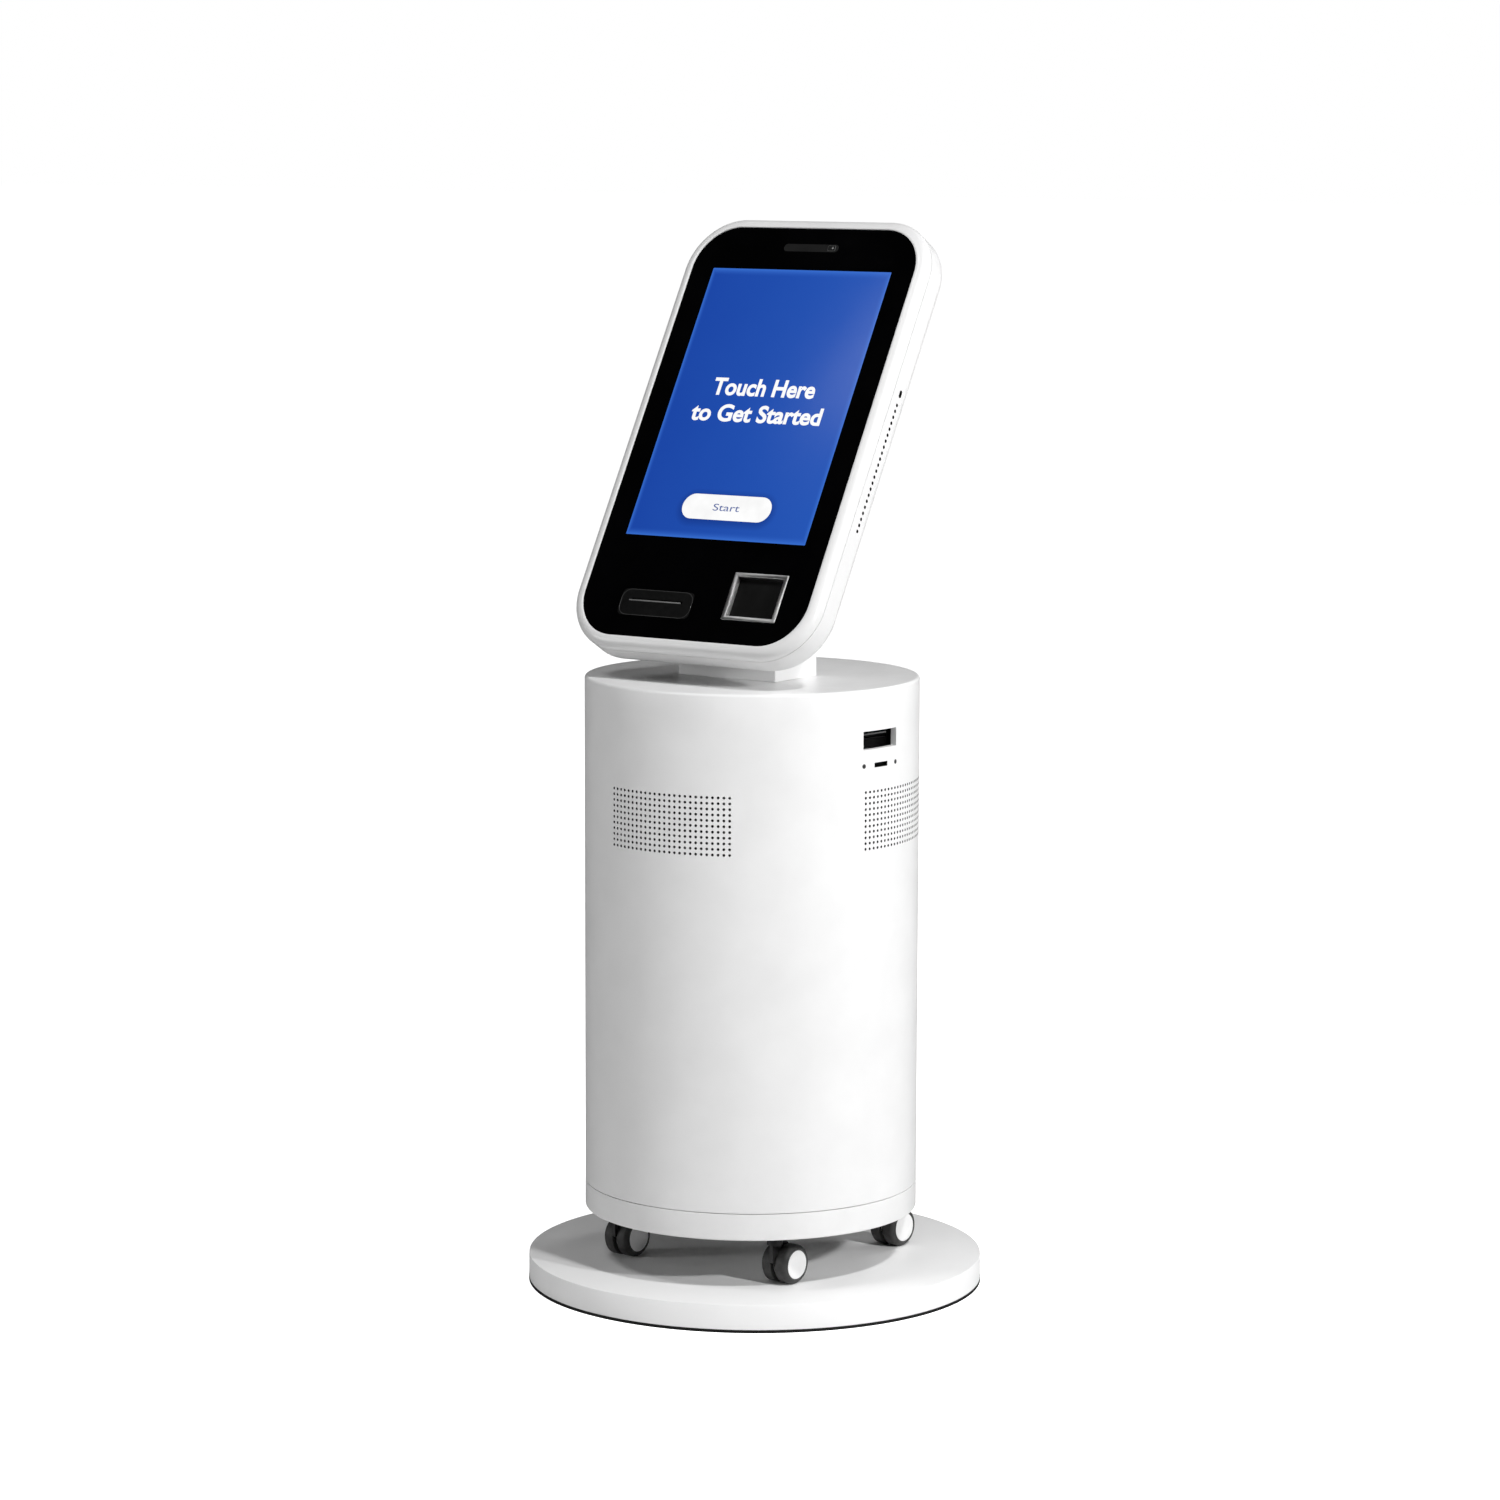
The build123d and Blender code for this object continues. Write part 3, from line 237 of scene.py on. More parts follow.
def mottled(
    name,
    dark,
    light,
    roughness,
    blotch=60 * MM,
    grain=1.2 * MM,
    grain_depth=0.02 * MM,
    metallic=0.0,
    specular=0.5,
    dust=0.0,
):
    """Moulded or painted finish: slow colour change, uneven gloss, fine grain, dust near the floor."""
    finish, nodes, links, shader = start_finish(name, roughness[0], metallic, specular)
    place = coordinates(nodes, links)
    cloud = noise(nodes, links, place, blotch)
    colour = blend_colours(nodes, links, between(nodes, links, cloud, 0, 1, *noise_spread), dark, light)
    if dust:
        height = nodes.new("ShaderNodeSeparateXYZ")
        links.new(place, height.inputs["Vector"])
        low = between(nodes, links, height.outputs["Z"], dust, 0, 0, dust_top)
        specks = between(nodes, links, noise(nodes, links, place, 6 * MM), 0.2, 1, 0.35, 0.65)
        settled = combine(nodes, links, "MULTIPLY", low, specks)
        colour = blend_colours(nodes, links, settled, colour, dust_colour)
    links.new(colour, shader.inputs["Base Color"])
    sheen = noise(nodes, links, place, blotch / 5)
    links.new(between(nodes, links, sheen, *roughness, *noise_spread), shader.inputs["Roughness"])
    press_grain(nodes, links, shader, noise(nodes, links, place, grain, 2.0), grain_depth)
    return finish


def brushed(name, dark, light, roughness, direction, place=Matrix()):
    """Metal with fine lines; a direction of 1 runs along them and 0 runs across them."""
    finish, nodes, links, shader = start_finish(name, roughness[0], metallic=1.0)
    shader.inputs["Anisotropic"].default_value = 0.5
    lines_across = 30
    stretch = [1 if along else lines_across for along in direction]
    local = coordinates(
        nodes, links, kind="TEXTURE", location=place.to_translation(), rotation=place.to_euler()
    )
    drawn = nodes.new("ShaderNodeMapping")
    drawn.inputs["Scale"].default_value = stretch
    links.new(local, drawn.inputs["Vector"])
    lines = noise(nodes, links, drawn.outputs["Vector"], 9 * MM, 4.0)
    links.new(
        blend_colours(nodes, links, between(nodes, links, lines, 0, 1, *noise_spread), dark, light),
        shader.inputs["Base Color"],
    )
    links.new(between(nodes, links, lines, *roughness, *noise_spread), shader.inputs["Roughness"])
    press_grain(nodes, links, shader, lines, 0.03 * MM)
    return finish


white_shell = mottled(
    "white_powder_coat",
    grey(0.80),
    grey(0.84),
    (0.34, 0.44),
    grain=0.9 * MM,
    grain_depth=0.006 * MM,
    dust=0.05,
)
white_head = mottled(
    "white_moulding", grey(0.735), grey(0.765), (0.30, 0.40), grain=0.7 * MM, grain_depth=0.003 * MM
)
white_cap = mottled("white_wheel_cap", grey(0.81), grey(0.86), (0.30, 0.40), blotch=14 * MM, dust=0.03)
black_plastic = mottled(
    "black_moulding", grey(0.010), grey(0.018), (0.38, 0.52), blotch=20 * MM, grain=0.6 * MM
)
black_gloss = mottled(
    "black_gloss_bezel",
    grey(0.0012),
    grey(0.002),
    (0.30, 0.38),
    blotch=20 * MM,
    grain_depth=0.003 * MM,
    specular=0.2,
)
tyre_rubber = mottled(
    "grey_black_tread", grey(0.018), grey(0.032), (0.5, 0.66), blotch=9 * MM, grain=0.8 * MM, dust=0.03
)
cap_ring_grey = mottled("cap_ring_grey", grey(0.035), grey(0.05), (0.3, 0.4), blotch=8 * MM)
painted_steel = mottled("grey_painted_steel", grey(0.30), grey(0.36), (0.40, 0.55), blotch=40 * MM)
dark_housing = mottled("dark_housing", grey(0.028), grey(0.04), (0.5, 0.62), blotch=25 * MM)
dark_screw = mottled("blackened_screw", grey(0.06), grey(0.10), (0.3, 0.4), blotch=2 * MM, metallic=0.6)
port_black = mottled(
    "port_black", grey(0.0012), grey(0.0025), (0.45, 0.6), blotch=8 * MM, grain=0.5 * MM, specular=0.12
)
rocker_gloss = mottled("black_gloss_key", grey(0.01), grey(0.016), (0.18, 0.26), blotch=8 * MM)
receipt_paper = mottled(
    "receipt_paper", (0.80, 0.79, 0.75, 1), (0.86, 0.85, 0.82, 1), (0.8, 0.9), blotch=15 * MM
)
slit_lip = mottled("slit_lip_grey", grey(0.16), grey(0.22), (0.3, 0.45), blotch=12 * MM, metallic=0.4)
outline_grey = mottled("outline_grey", grey(0.022), grey(0.032), (0.35, 0.45), blotch=12 * MM)
# Grey-black walls of the vent holes: painted shade, standing in for the shade inside the holes.
vent_hole_painted_shade = mottled("vent_hole_painted_shade_finish", grey(0.05), grey(0.08), (0.5, 0.6), blotch=12 * MM)
# Near-black walls of the speaker holes in the head's white shell: painted shade, standing in for the shade
# inside the holes.
speaker_hole_painted_shade = mottled("speaker_hole_painted_shade_finish", grey(0.004), grey(0.008), (0.5, 0.6), blotch=12 * MM)
turned_aluminium = brushed("turned_aluminium", grey(0.62), grey(0.78), (0.30, 0.42), (1, 1, 0))
chrome_lock = brushed("polished_lock", grey(0.66), grey(0.78), (0.08, 0.18), (0, 0, 1))
scanner_metal = brushed("brushed_frame", grey(0.34), grey(0.54), (0.30, 0.44), (1, 0, 0), head_place)


def make_black_glass():
    """Black-backed cover glass with faint finger marks in its gloss."""
    finish, nodes, links, shader = start_finish("black_backed_glass", 0.08, specular=0.12)
    place = coordinates(nodes, links)
    tint = between(nodes, links, noise(nodes, links, place, 90 * MM), 0, 1, 0.35, 0.65)
    links.new(
        blend_colours(nodes, links, tint, (0.0004, 0.0004, 0.0005, 1), (0.0009, 0.0009, 0.0011, 1)),
        shader.inputs["Base Color"],
    )
    smears = noise(nodes, links, place, 35 * MM, 6.0)
    links.new(between(nodes, links, smears, 0.05, 0.16, 0.45, 0.75), shader.inputs["Roughness"])
    press_grain(nodes, links, shader, noise(nodes, links, place, 60 * MM, 1.0), 0.004 * MM)
    return finish


def make_smoked_window(name, dark, light, blotch):
    """Smoked plastic window, a little lighter than the glass round it."""
    return mottled(name, dark, light, (0.30, 0.38), blotch=blotch, grain_depth=0.002 * MM, specular=0.06)


black_glass = make_black_glass()
sensor_smoke = make_smoked_window("smoked_sensor_window", grey(0.008), grey(0.012), 30 * MM)
scanner_smoke = make_smoked_window("smoked_scanner_window", grey(0.0045), grey(0.007), 22 * MM)

picture_width = 244.8 * MM
picture_height = 340.6 * MM
button_width = 121 * MM
button_height = 31 * MM
button_place = (3 * MM, -131 * MM)
end_glow_reach = 9 * MM
side_glow_reach = 6 * MM
button_shade_drop = 2 * MM
button_shade_reach = 9 * MM


def make_lit_picture():
    """Lit screen: deep blue, paler to the right and at its borders, darker round the button."""
    finish, nodes, links, shader = start_finish("lit_blue_screen", 0.2, specular=0.05)
    shader.inputs["Base Color"].default_value = (0.002, 0.006, 0.03, 1)
    shader.inputs["Emission Strength"].default_value = 1.0
    place = coordinates(
        nodes, links, kind="TEXTURE", location=screen_centre, rotation=(radians(90) - head_tilt, 0, 0)
    )
    parts = nodes.new("ShaderNodeSeparateXYZ")
    links.new(place, parts.inputs["Vector"])
    side, height = parts.outputs["X"], parts.outputs["Y"]
    drift = between(nodes, links, side, 0, 1, -picture_width / 2, picture_width / 2)
    field = blend_colours(nodes, links, drift, (0.0095, 0.056, 0.355, 1), (0.0165, 0.086, 0.435, 1))
    cloud = between(nodes, links, noise(nodes, links, place, 70 * MM), 0, 0.12, 0.35, 0.65)
    field = blend_colours(nodes, links, cloud, field, (0.017, 0.082, 0.42, 1))
    to_side = combine(nodes, links, "SUBTRACT", picture_width / 2, combine(nodes, links, "ABSOLUTE", side))
    to_end = combine(nodes, links, "SUBTRACT", picture_height / 2, combine(nodes, links, "ABSOLUTE", height))
    end_glow = between(nodes, links, to_end, 1, 0, 0, end_glow_reach)
    side_glow = between(nodes, links, to_side, 1, 0, 0, side_glow_reach)
    glow = combine(nodes, links, "MAXIMUM", end_glow, side_glow)
    glow = combine(nodes, links, "POWER", glow, 1.6)
    field = blend_colours(nodes, links, glow, field, (0.037, 0.150, 0.60, 1))
    straight = (button_width - button_height) / 2
    beside = combine(nodes, links, "ABSOLUTE", combine(nodes, links, "SUBTRACT", side, button_place[0]))
    beyond = combine(nodes, links, "MAXIMUM", combine(nodes, links, "SUBTRACT", beside, straight), 0.0)
    rise = combine(nodes, links, "SUBTRACT", height, button_place[1] - button_shade_drop)
    square = combine(
        nodes,
        links,
        "ADD",
        combine(nodes, links, "MULTIPLY", beyond, beyond),
        combine(nodes, links, "MULTIPLY", rise, rise),
    )
    distance = combine(nodes, links, "SQRT", square)
    under_button = button_height / 2 - 1 * MM
    round_button = button_height / 2 + button_shade_reach
    shade = between(nodes, links, distance, 0.6, 0, under_button, round_button)
    field = blend_colours(nodes, links, shade, field, (0.004, 0.025, 0.19, 1))
    links.new(field, shader.inputs["Emission Color"])
    smears = noise(nodes, links, place, 30 * MM)
    links.new(between(nodes, links, smears, 0.16, 0.24), shader.inputs["Roughness"])
    press_grain(nodes, links, shader, noise(nodes, links, place, 60 * MM, 1.0), 0.004 * MM)
    return finish


def make_glowing_ink(name, dark, light):
    """Flat lit lettering with a slight change of tone across it."""
    finish, nodes, links, shader = start_finish(name, 0.3, specular=0.05)
    shader.inputs["Base Color"].default_value = grey(0.02)
    shader.inputs["Emission Strength"].default_value = 1.0
    place = coordinates(nodes, links)
    tone = between(nodes, links, noise(nodes, links, place, 18 * MM), 0, 1, *noise_spread)
    links.new(blend_colours(nodes, links, tone, dark, light), shader.inputs["Emission Color"])
    links.new(between(nodes, links, tone, 0.30, 0.38), shader.inputs["Roughness"])
    return finish


def make_circuit_board():
    """Green board with fine copper tracks and paler solder dots."""
    finish, nodes, links, shader = start_finish("green_circuit_board", 0.4)
    place = coordinates(nodes, links)
    tracks = nodes.new("ShaderNodeTexVoronoi")
    tracks.feature = "DISTANCE_TO_EDGE"
    tracks.inputs["Scale"].default_value = 1 / (6 * MM)
    links.new(place, tracks.inputs["Vector"])
    line = between(nodes, links, tracks.outputs["Distance"], 1, 0, 0.03, 0.06)
    base = blend_colours(nodes, links, line, (0.012, 0.09, 0.035, 1), (0.05, 0.20, 0.07, 1))
    dots = between(nodes, links, noise(nodes, links, place, 2.5 * MM, 0.0), 0, 1, 0.66, 0.7)
    links.new(blend_colours(nodes, links, dots, base, grey(0.5)), shader.inputs["Base Color"])
    links.new(between(nodes, links, line, 0.45, 0.3), shader.inputs["Roughness"])
    press_grain(nodes, links, shader, line, 0.05 * MM)
    return finish


def make_outlet_lining():
    """Receipt outlet: white return of the shell at its mouth, black lining behind."""
    mouth_depth = 7.5 * MM
    finish, nodes, links, shader = start_finish("outlet_lining", 0.4, specular=0.1)
    place = coordinates(nodes, links)
    flat = nodes.new("ShaderNodeVectorMath")
    flat.operation = "MULTIPLY"
    flat.inputs[1].default_value = (1, 1, 0)
    links.new(place, flat.inputs[0])
    reach = nodes.new("ShaderNodeVectorMath")
    reach.operation = "LENGTH"
    links.new(flat.outputs["Vector"], reach.inputs[0])
    mouth = combine(nodes, links, "GREATER_THAN", reach.outputs["Value"], body_radius - mouth_depth)
    cloud = between(nodes, links, noise(nodes, links, place, 12 * MM), 0, 1, *noise_spread)
    black = blend_colours(nodes, links, cloud, grey(0.0008), grey(0.0016))
    white = blend_colours(nodes, links, cloud, grey(0.78), grey(0.84))
    links.new(blend_colours(nodes, links, mouth, black, white), shader.inputs["Base Color"])
    links.new(between(nodes, links, cloud, 0.36, 0.48), shader.inputs["Roughness"])
    press_grain(nodes, links, shader, noise(nodes, links, place, 0.8 * MM, 2.0), 0.01 * MM)
    return finish


lit_picture = make_lit_picture()
letter_white = make_glowing_ink("letter_white", grey(0.93), grey(1.0))
button_white = make_glowing_ink("button_white", grey(0.90), grey(0.98))
button_ink = make_glowing_ink("button_ink", (0.06, 0.10, 0.30, 1), (0.10, 0.15, 0.38, 1))
circuit_board = make_circuit_board()
outlet_lining = make_outlet_lining()

finishes_of_nodes = {
    "base_plate": painted_steel,
    "caster_sockets": painted_steel,
    "frame_posts": painted_steel,
    "shelves": painted_steel,
    "top_stiffener": painted_steel,
    "receipt_outlet": outlet_lining,
    "data_port": port_black,
    "port_screws": dark_screw,
    "door_hinges": white_shell,
    "power_inlet": black_plastic,
    "computer": dark_housing,
    "power_supply": dark_housing,
    "fan_frame": black_plastic,
    "receipt_printer": dark_housing,
    "service_door": white_shell,
    "lock_plug": chrome_lock,
    "lock_cam": painted_steel,
    "power_rocker": rocker_gloss,
    "fan_rotor": black_plastic,
    "paper_roll": receipt_paper,
    "neck_post": white_shell,
    "neck_spigot": turned_aluminium,
    "retaining_collar": painted_steel,
    "cover_glass": black_glass,
    "display_panel": dark_housing,
    "head_chassis": painted_steel,
    "driver_board": circuit_board,
    "sensor_window": sensor_smoke,
    "camera_module": circuit_board,
    "card_mouth": black_gloss,
    "card_reader": dark_housing,
    "scanner_window": scanner_smoke,
    "scanner_module": dark_housing,
    "speaker": dark_housing,
}


def dress(node, finish):
    """Give a node of the model its finish."""
    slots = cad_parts[node].data.materials
    slots.clear()
    slots.append(finish)


for node, finish in finishes_of_nodes.items():
    dress(node, finish)


# ---------------------------------------------------------------- making pieces
def make_piece(name, bm, finish, body, replaces=(), place=Matrix(), sharp=35, hole_wall_painted_shade=None):
    """Turn a finished shape into a piece that rides on a body. A hole finish, when given, is painted shade
    for the walls of its punched holes.
    """
    bmesh.ops.transform(bm, matrix=place, verts=bm.verts)
    mesh = bpy.data.meshes.new(name)
    bm.to_mesh(mesh)
    bm.free()
    mesh.materials.append(finish)
    if hole_wall_painted_shade:
        mesh.materials.append(hole_wall_painted_shade)
    mesh.shade_smooth()
    mesh.set_sharp_from_angle(angle=radians(sharp))
    piece = bpy.data.objects.new(name, mesh)
    bpy.context.scene.collection.objects.link(piece)
    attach(piece, body)
    if replaces:
        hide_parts(*replaces)
    return piece


def extend_loop(bm, edges):
    """Extrude a loop of edges; returns the new loop's edges and vertices."""
    made = bmesh.ops.extrude_edge_only(bm, edges=edges)["geom"]
    loop = [part for part in made if isinstance(part, bmesh.types.BMEdge) and part.is_boundary]
    points = [part for part in made if isinstance(part, bmesh.types.BMVert)]
    return loop, points


def close_up(bm):
    """Weld a shape's seams and turn its faces outwards."""
    bmesh.ops.remove_doubles(bm, verts=bm.verts, dist=0.01 * MM)
    bmesh.ops.recalc_face_normals(bm, faces=bm.faces)


def round_over(radius, start_inset, start_depth, rising=1, steps=8):
    """Quarter-round from a side wall inwards over a face, as (inset, depth) points."""
    return [
        (
            start_inset + radius * (1 - cos(k / steps * pi / 2)),
            start_depth + rising * radius * sin(k / steps * pi / 2),
        )
        for k in range(steps + 1)
    ]


def clamp(value, limit):
    """Value held between minus and plus a limit."""
    return max(-limit, min(limit, value))


def frame_round(width, height, corner, profile, segments=4, marks=(), closed=True):
    """Profile of (inset, depth) points carried round a rounded rectangle about the origin.

    Marks are heights where the outline gets a vertex of its own.
    """
    bm = bmesh.new()
    bmesh.ops.create_grid(bm, x_segments=1, y_segments=1, size=0.5)
    bmesh.ops.scale(bm, vec=(width, height, 1), verts=bm.verts)
    bmesh.ops.bevel(
        bm, geom=bm.verts[:], offset=corner, affect="VERTICES", segments=segments, profile=0.5, material=-1
    )
    bmesh.ops.delete(bm, geom=bm.faces[:], context="FACES_ONLY")
    for mark in marks:
        bmesh.ops.bisect_plane(
            bm, geom=bm.verts[:] + bm.edges[:], plane_co=(0, mark, 0), plane_no=(0, 1, 0), dist=0.001 * MM
        )
    anchor = bm.verts.layers.float_vector.new("anchor")
    facing = bm.verts.layers.float_vector.new("facing")
    half = Vector((width / 2, height / 2, 0))
    for v in bm.verts:
        inner = Vector((clamp(v.co.x, half.x - corner), clamp(v.co.y, half.y - corner), 0))
        v[anchor] = inner
        v[facing] = (v.co - inner).normalized()

    def settle(points, inset, depth):
        """Move a ring's vertices to their inset and depth."""
        radius = max(corner - inset, 0.3 * MM)
        reach = half - Vector((inset + radius, inset + radius, 0))
        for v in points:
            x = clamp(v[anchor].x, reach.x) + v[facing].x * radius
            y = clamp(v[anchor].y, reach.y) + v[facing].y * radius
            v.co = (x, y, depth)

    loop = bm.edges[:]
    settle(bm.verts, *profile[0])
    for inset, depth in profile[1:] + (profile[:1] if closed else []):
        loop, points = extend_loop(bm, loop)
        settle(points, inset, depth)
    if not closed:
        bmesh.ops.contextual_create(bm, geom=loop)
    close_up(bm)
    return bm


def plate(width, height, corner, low, high, edge, segments=6):
    """Rounded plate with softened upper edge, from one depth to another."""
    profile = [(0, low)] + round_over(edge, 0, high - edge, steps=3)
    bm = frame_round(width, height, corner, profile, segments, closed=False)
    bmesh.ops.holes_fill(bm, edges=[e for e in bm.edges if e.is_boundary])
    bmesh.ops.recalc_face_normals(bm, faces=bm.faces)
    return bm


def punch_holes(bm, cells, radius, stretch=Vector()):
    """Round hole in the middle of each flat cell, its edges marked; a stretch makes it a slot."""
    rim = bm.edges.layers.int.get("hole_rim") or bm.edges.layers.int.new("hole_rim")
    bmesh.ops.inset_individual(bm, faces=cells, thickness=radius / 4)
    for cell in cells:
        middle = cell.calc_center_bounds()
        bmesh.ops.subdivide_edges(bm, edges=cell.edges[:], cuts=2)
        for v in cell.verts:
            ray = (v.co - middle).normalized()
            shift = stretch * (1 if ray.dot(stretch) > 0 else -1)
            v.co = middle + ray * radius + shift
        for e in cell.edges:
            e[rim] = 1
    bmesh.ops.delete(bm, geom=cells, context="FACES_ONLY")


def thicken(bm, wall):
    """Give a sheet its wall; the walls inside its punched holes take the second finish, a painted shade that
    darkens the holes.
    """
    rim = bm.edges.layers.int["hole_rim"]
    rims = {e for e in bm.edges if e[rim]}
    sheet = set(bm.faces)
    bmesh.ops.solidify(bm, geom=bm.faces[:], thickness=wall)
    for f in bm.faces:
        if f not in sheet and rims.intersection(f.edges):
            f.material_index = 1


# A spun disc keeps a hole of this radius at its middle, so that its outline closes without meeting the axis
pin_hole = 0.02 * MM


def spin_round(profile, steps):
    """Closed outline of (radius, height) points spun round the Z axis."""
    bm = bmesh.new()
    points = [bm.verts.new((radius, 0, height)) for radius, height in profile]
    edges = [bm.edges.new(pair) for pair in zip(points, points[1:] + points[:1])]
    bmesh.ops.spin(
        bm, geom=points + edges, cent=(0, 0, 0), axis=(0, 0, 1), angle=2 * pi, steps=steps, use_merge=True
    )
    close_up(bm)
    return bm


# ---------------------------------------------------------------- cabinet drum
def spread(marks, widest):
    """Marks in order, with even steps added where two are further apart than the widest."""
    marks = sorted(marks)
    lines = []
    for first, second in zip(marks, marks[1:]):
        steps = max(1, ceil((second - first) / widest - 1e-6))
        lines += [first + (second - first) * k / steps for k in range(steps)]
    return lines + marks[-1:]


def window_of(angle, width, height, size):
    """Window as (first angle, last angle, low, high)."""
    reach = asin(width / 2 / body_radius)
    return (angle - reach, angle + reach, height - size / 2, height + size / 2)


def make_drum():
    """Shell with its vents and windows, rolled from one flat sheet, with a turned-over top."""
    screw_step = port_screw_offset / body_radius
    screws = [outlet_angle + side * screw_step for side in (-1, 1)]
    screw_cell = 3.2 * screw_seat_radius
    windows = [
        window_of(outlet_angle, outlet_window[0], outlet_height, outlet_window[1]),
        window_of(outlet_angle, port_window[0], port_height, port_window[1]),
        window_of(pi, inlet_window[0], inlet_height, inlet_window[1]),
        (pi - door_half_angle, pi + door_half_angle, door_low.z - door_gap, door_high.z + door_gap),
    ]
    seats = [window_of(angle, screw_cell, port_height, screw_cell) for angle in screws]
    vents = [
        (
            angle - vent_columns / 2 * vent_pitch_angle,
            angle + vent_columns / 2 * vent_pitch_angle,
            vent_height - vent_rows / 2 * vent_pitch,
            vent_height + vent_rows / 2 * vent_pitch,
        )
        for angle in vent_angles
    ]
    column_marks = {drum_seam, drum_seam + 2 * pi}
    row_marks = {shell_low.z, shell_high.z - top_edge}
    for first, last, low, high in windows + seats:
        column_marks |= {first, last}
        row_marks |= {low, high}
    for first, last, low, high in vents:
        column_marks |= {first + k * vent_pitch_angle for k in range(vent_columns + 1)}
        row_marks |= {low + k * vent_pitch for k in range(vent_rows + 1)}
    columns = spread(column_marks, column_step)
    rows = spread(row_marks, row_step)

    bm = bmesh.new()
    bmesh.ops.create_grid(bm, x_segments=len(columns) - 1, y_segments=len(rows) - 1, size=0.5)
    for v in bm.verts:
        column = round((v.co.x + 0.5) * (len(columns) - 1))
        row = round((v.co.y + 0.5) * (len(rows) - 1))
        v.co = (columns[column] * body_radius, rows[row], 0)

    def cells_in(opening):
        """Cells of the flat sheet inside a window."""
        first, last, low, high = opening
        found = []
        for f in bm.faces:
            middle = f.calc_center_bounds()
            if first < middle.x / body_radius < last and low < middle.y < high:
                found.append(f)
        return found

    for opening in windows:
        bmesh.ops.delete(bm, geom=cells_in(opening), context="FACES")
    for vent in vents:
        first, last, low, high = vent
        pieces = {}
        for f in cells_in(vent):
            middle = f.calc_center_bounds()
            column = int((middle.x / body_radius - first) / vent_pitch_angle)
            row = int((middle.y - low) / vent_pitch)
            pieces.setdefault((column, row), []).append(f)
        cells = []
        for faces in pieces.values():
            if len(faces) > 1:
                faces = bmesh.ops.dissolve_faces(bm, faces=faces)["region"]
            cells.append(faces[0])
        punch_holes(bm, cells, vent_hole_radius)
    for seat in seats:
        joined = bmesh.ops.dissolve_faces(bm, faces=cells_in(seat))["region"]
        punch_holes(bm, joined, screw_seat_radius)

    for v in bm.verts:
        angle = v.co.x / body_radius + cabinet_front
        v.co = (body_radius * sin(angle), -body_radius * cos(angle), v.co.y)
    bmesh.ops.remove_doubles(bm, verts=bm.verts, dist=0.01 * MM)
    brim_level = shell_high.z - 1.1 * top_edge
    brim = [e for e in bm.edges if e.is_boundary and all(v.co.z > brim_level for v in e.verts)]
    rounded = round_over(top_edge, 0, shell_high.z - top_edge, steps=6)[1:]
    flat = [(inset, shell_high.z) for inset in top_rings]
    for inset, height in rounded + flat:
        brim, points = extend_loop(bm, brim)
        for v in points:
            across = Vector((v.co.x, v.co.y, 0)).normalized() * (body_radius - inset)
            v.co = (across.x, across.y, height)
    bmesh.ops.recalc_face_normals(bm, faces=bm.faces)
    outer = max(bm.faces, key=lambda f: f.calc_center_bounds().xy.length)
    if outer.normal.dot(outer.calc_center_bounds() * Vector((1, 1, 0))) < 0:
        bmesh.ops.reverse_faces(bm, faces=bm.faces)
    thicken(bm, shell_wall)
    return bm


make_piece(
    "cabinet_drum",
    make_drum(),
    white_shell,
    "cabinet",
    ("cabinet_shell", "vent_panels"),
    hole_wall_painted_shade=vent_hole_painted_shade,
)

# Skirt: outer wall with a rounded lower edge, the ledge for the base plate and the lip inside the shell
skirt_wall = 3.5 * MM
skirt_edge = 2 * MM
skirt_inside = body_radius - 2 * skirt_wall + 1 * MM
ledge_inside = body_radius - 10.8 * MM
ledge_height = skirt_low.z + 7 * MM
ledge_thickness = 4 * MM
lip_outside = body_radius - 2.8 * MM
seam_height = skirt_high.z - 11 * MM
seam_edge = 0.3 * MM
skirt_foot = round_over(skirt_edge, 0, skirt_low.z + skirt_edge, -1, 5)
skirt_profile = (
    [(body_radius - seam_edge, seam_height), (body_radius, seam_height - seam_edge)]
    + [(body_radius - inset, height) for inset, height in skirt_foot]
    + [
        (body_radius - skirt_wall, skirt_low.z),
        (skirt_inside, ledge_height - ledge_thickness),
        (ledge_inside, ledge_height - ledge_thickness),
        (ledge_inside, ledge_height),
        (skirt_inside, ledge_height),
        (skirt_inside, skirt_high.z),
        (lip_outside, skirt_high.z),
        (lip_outside, seam_height),
    ]
)
make_piece(
    "cabinet_skirt",
    spin_round(skirt_profile, 144),
    white_shell,
    "cabinet",
    ("skirt_ring",),
)

# ---------------------------------------------------------------- head rim and back
head_middle_place = head_place @ Matrix.Translation((0, head_middle, 0))
rim_profile = (
    [(0, -rim_back)]
    + round_over(rim_edge, 0, rim_proud - rim_edge, steps=9)
    + [
        (glass_seat - glass_soft_edge, rim_proud),
        (glass_seat - glass_chamfer, rim_proud - glass_chamfer),
        (glass_seat, rim_proud - glass_soft_edge),
        (glass_seat, -glass_thickness),
        (glass_ledge, -glass_thickness),
        (glass_ledge, -rim_back),
        (rim_tongue[1], -rim_back),
        (rim_tongue[1], -rim_back - rim_tongue_depth),
        (rim_tongue[0], -rim_back - rim_tongue_depth),
        (rim_tongue[0], -rim_back),
    ]
)
make_piece(
    "head_rim",
    frame_round(head_width, head_length, head_corner, rim_profile, 18),
    white_head,
    "head",
    ("front_rim",),
    head_middle_place,
)


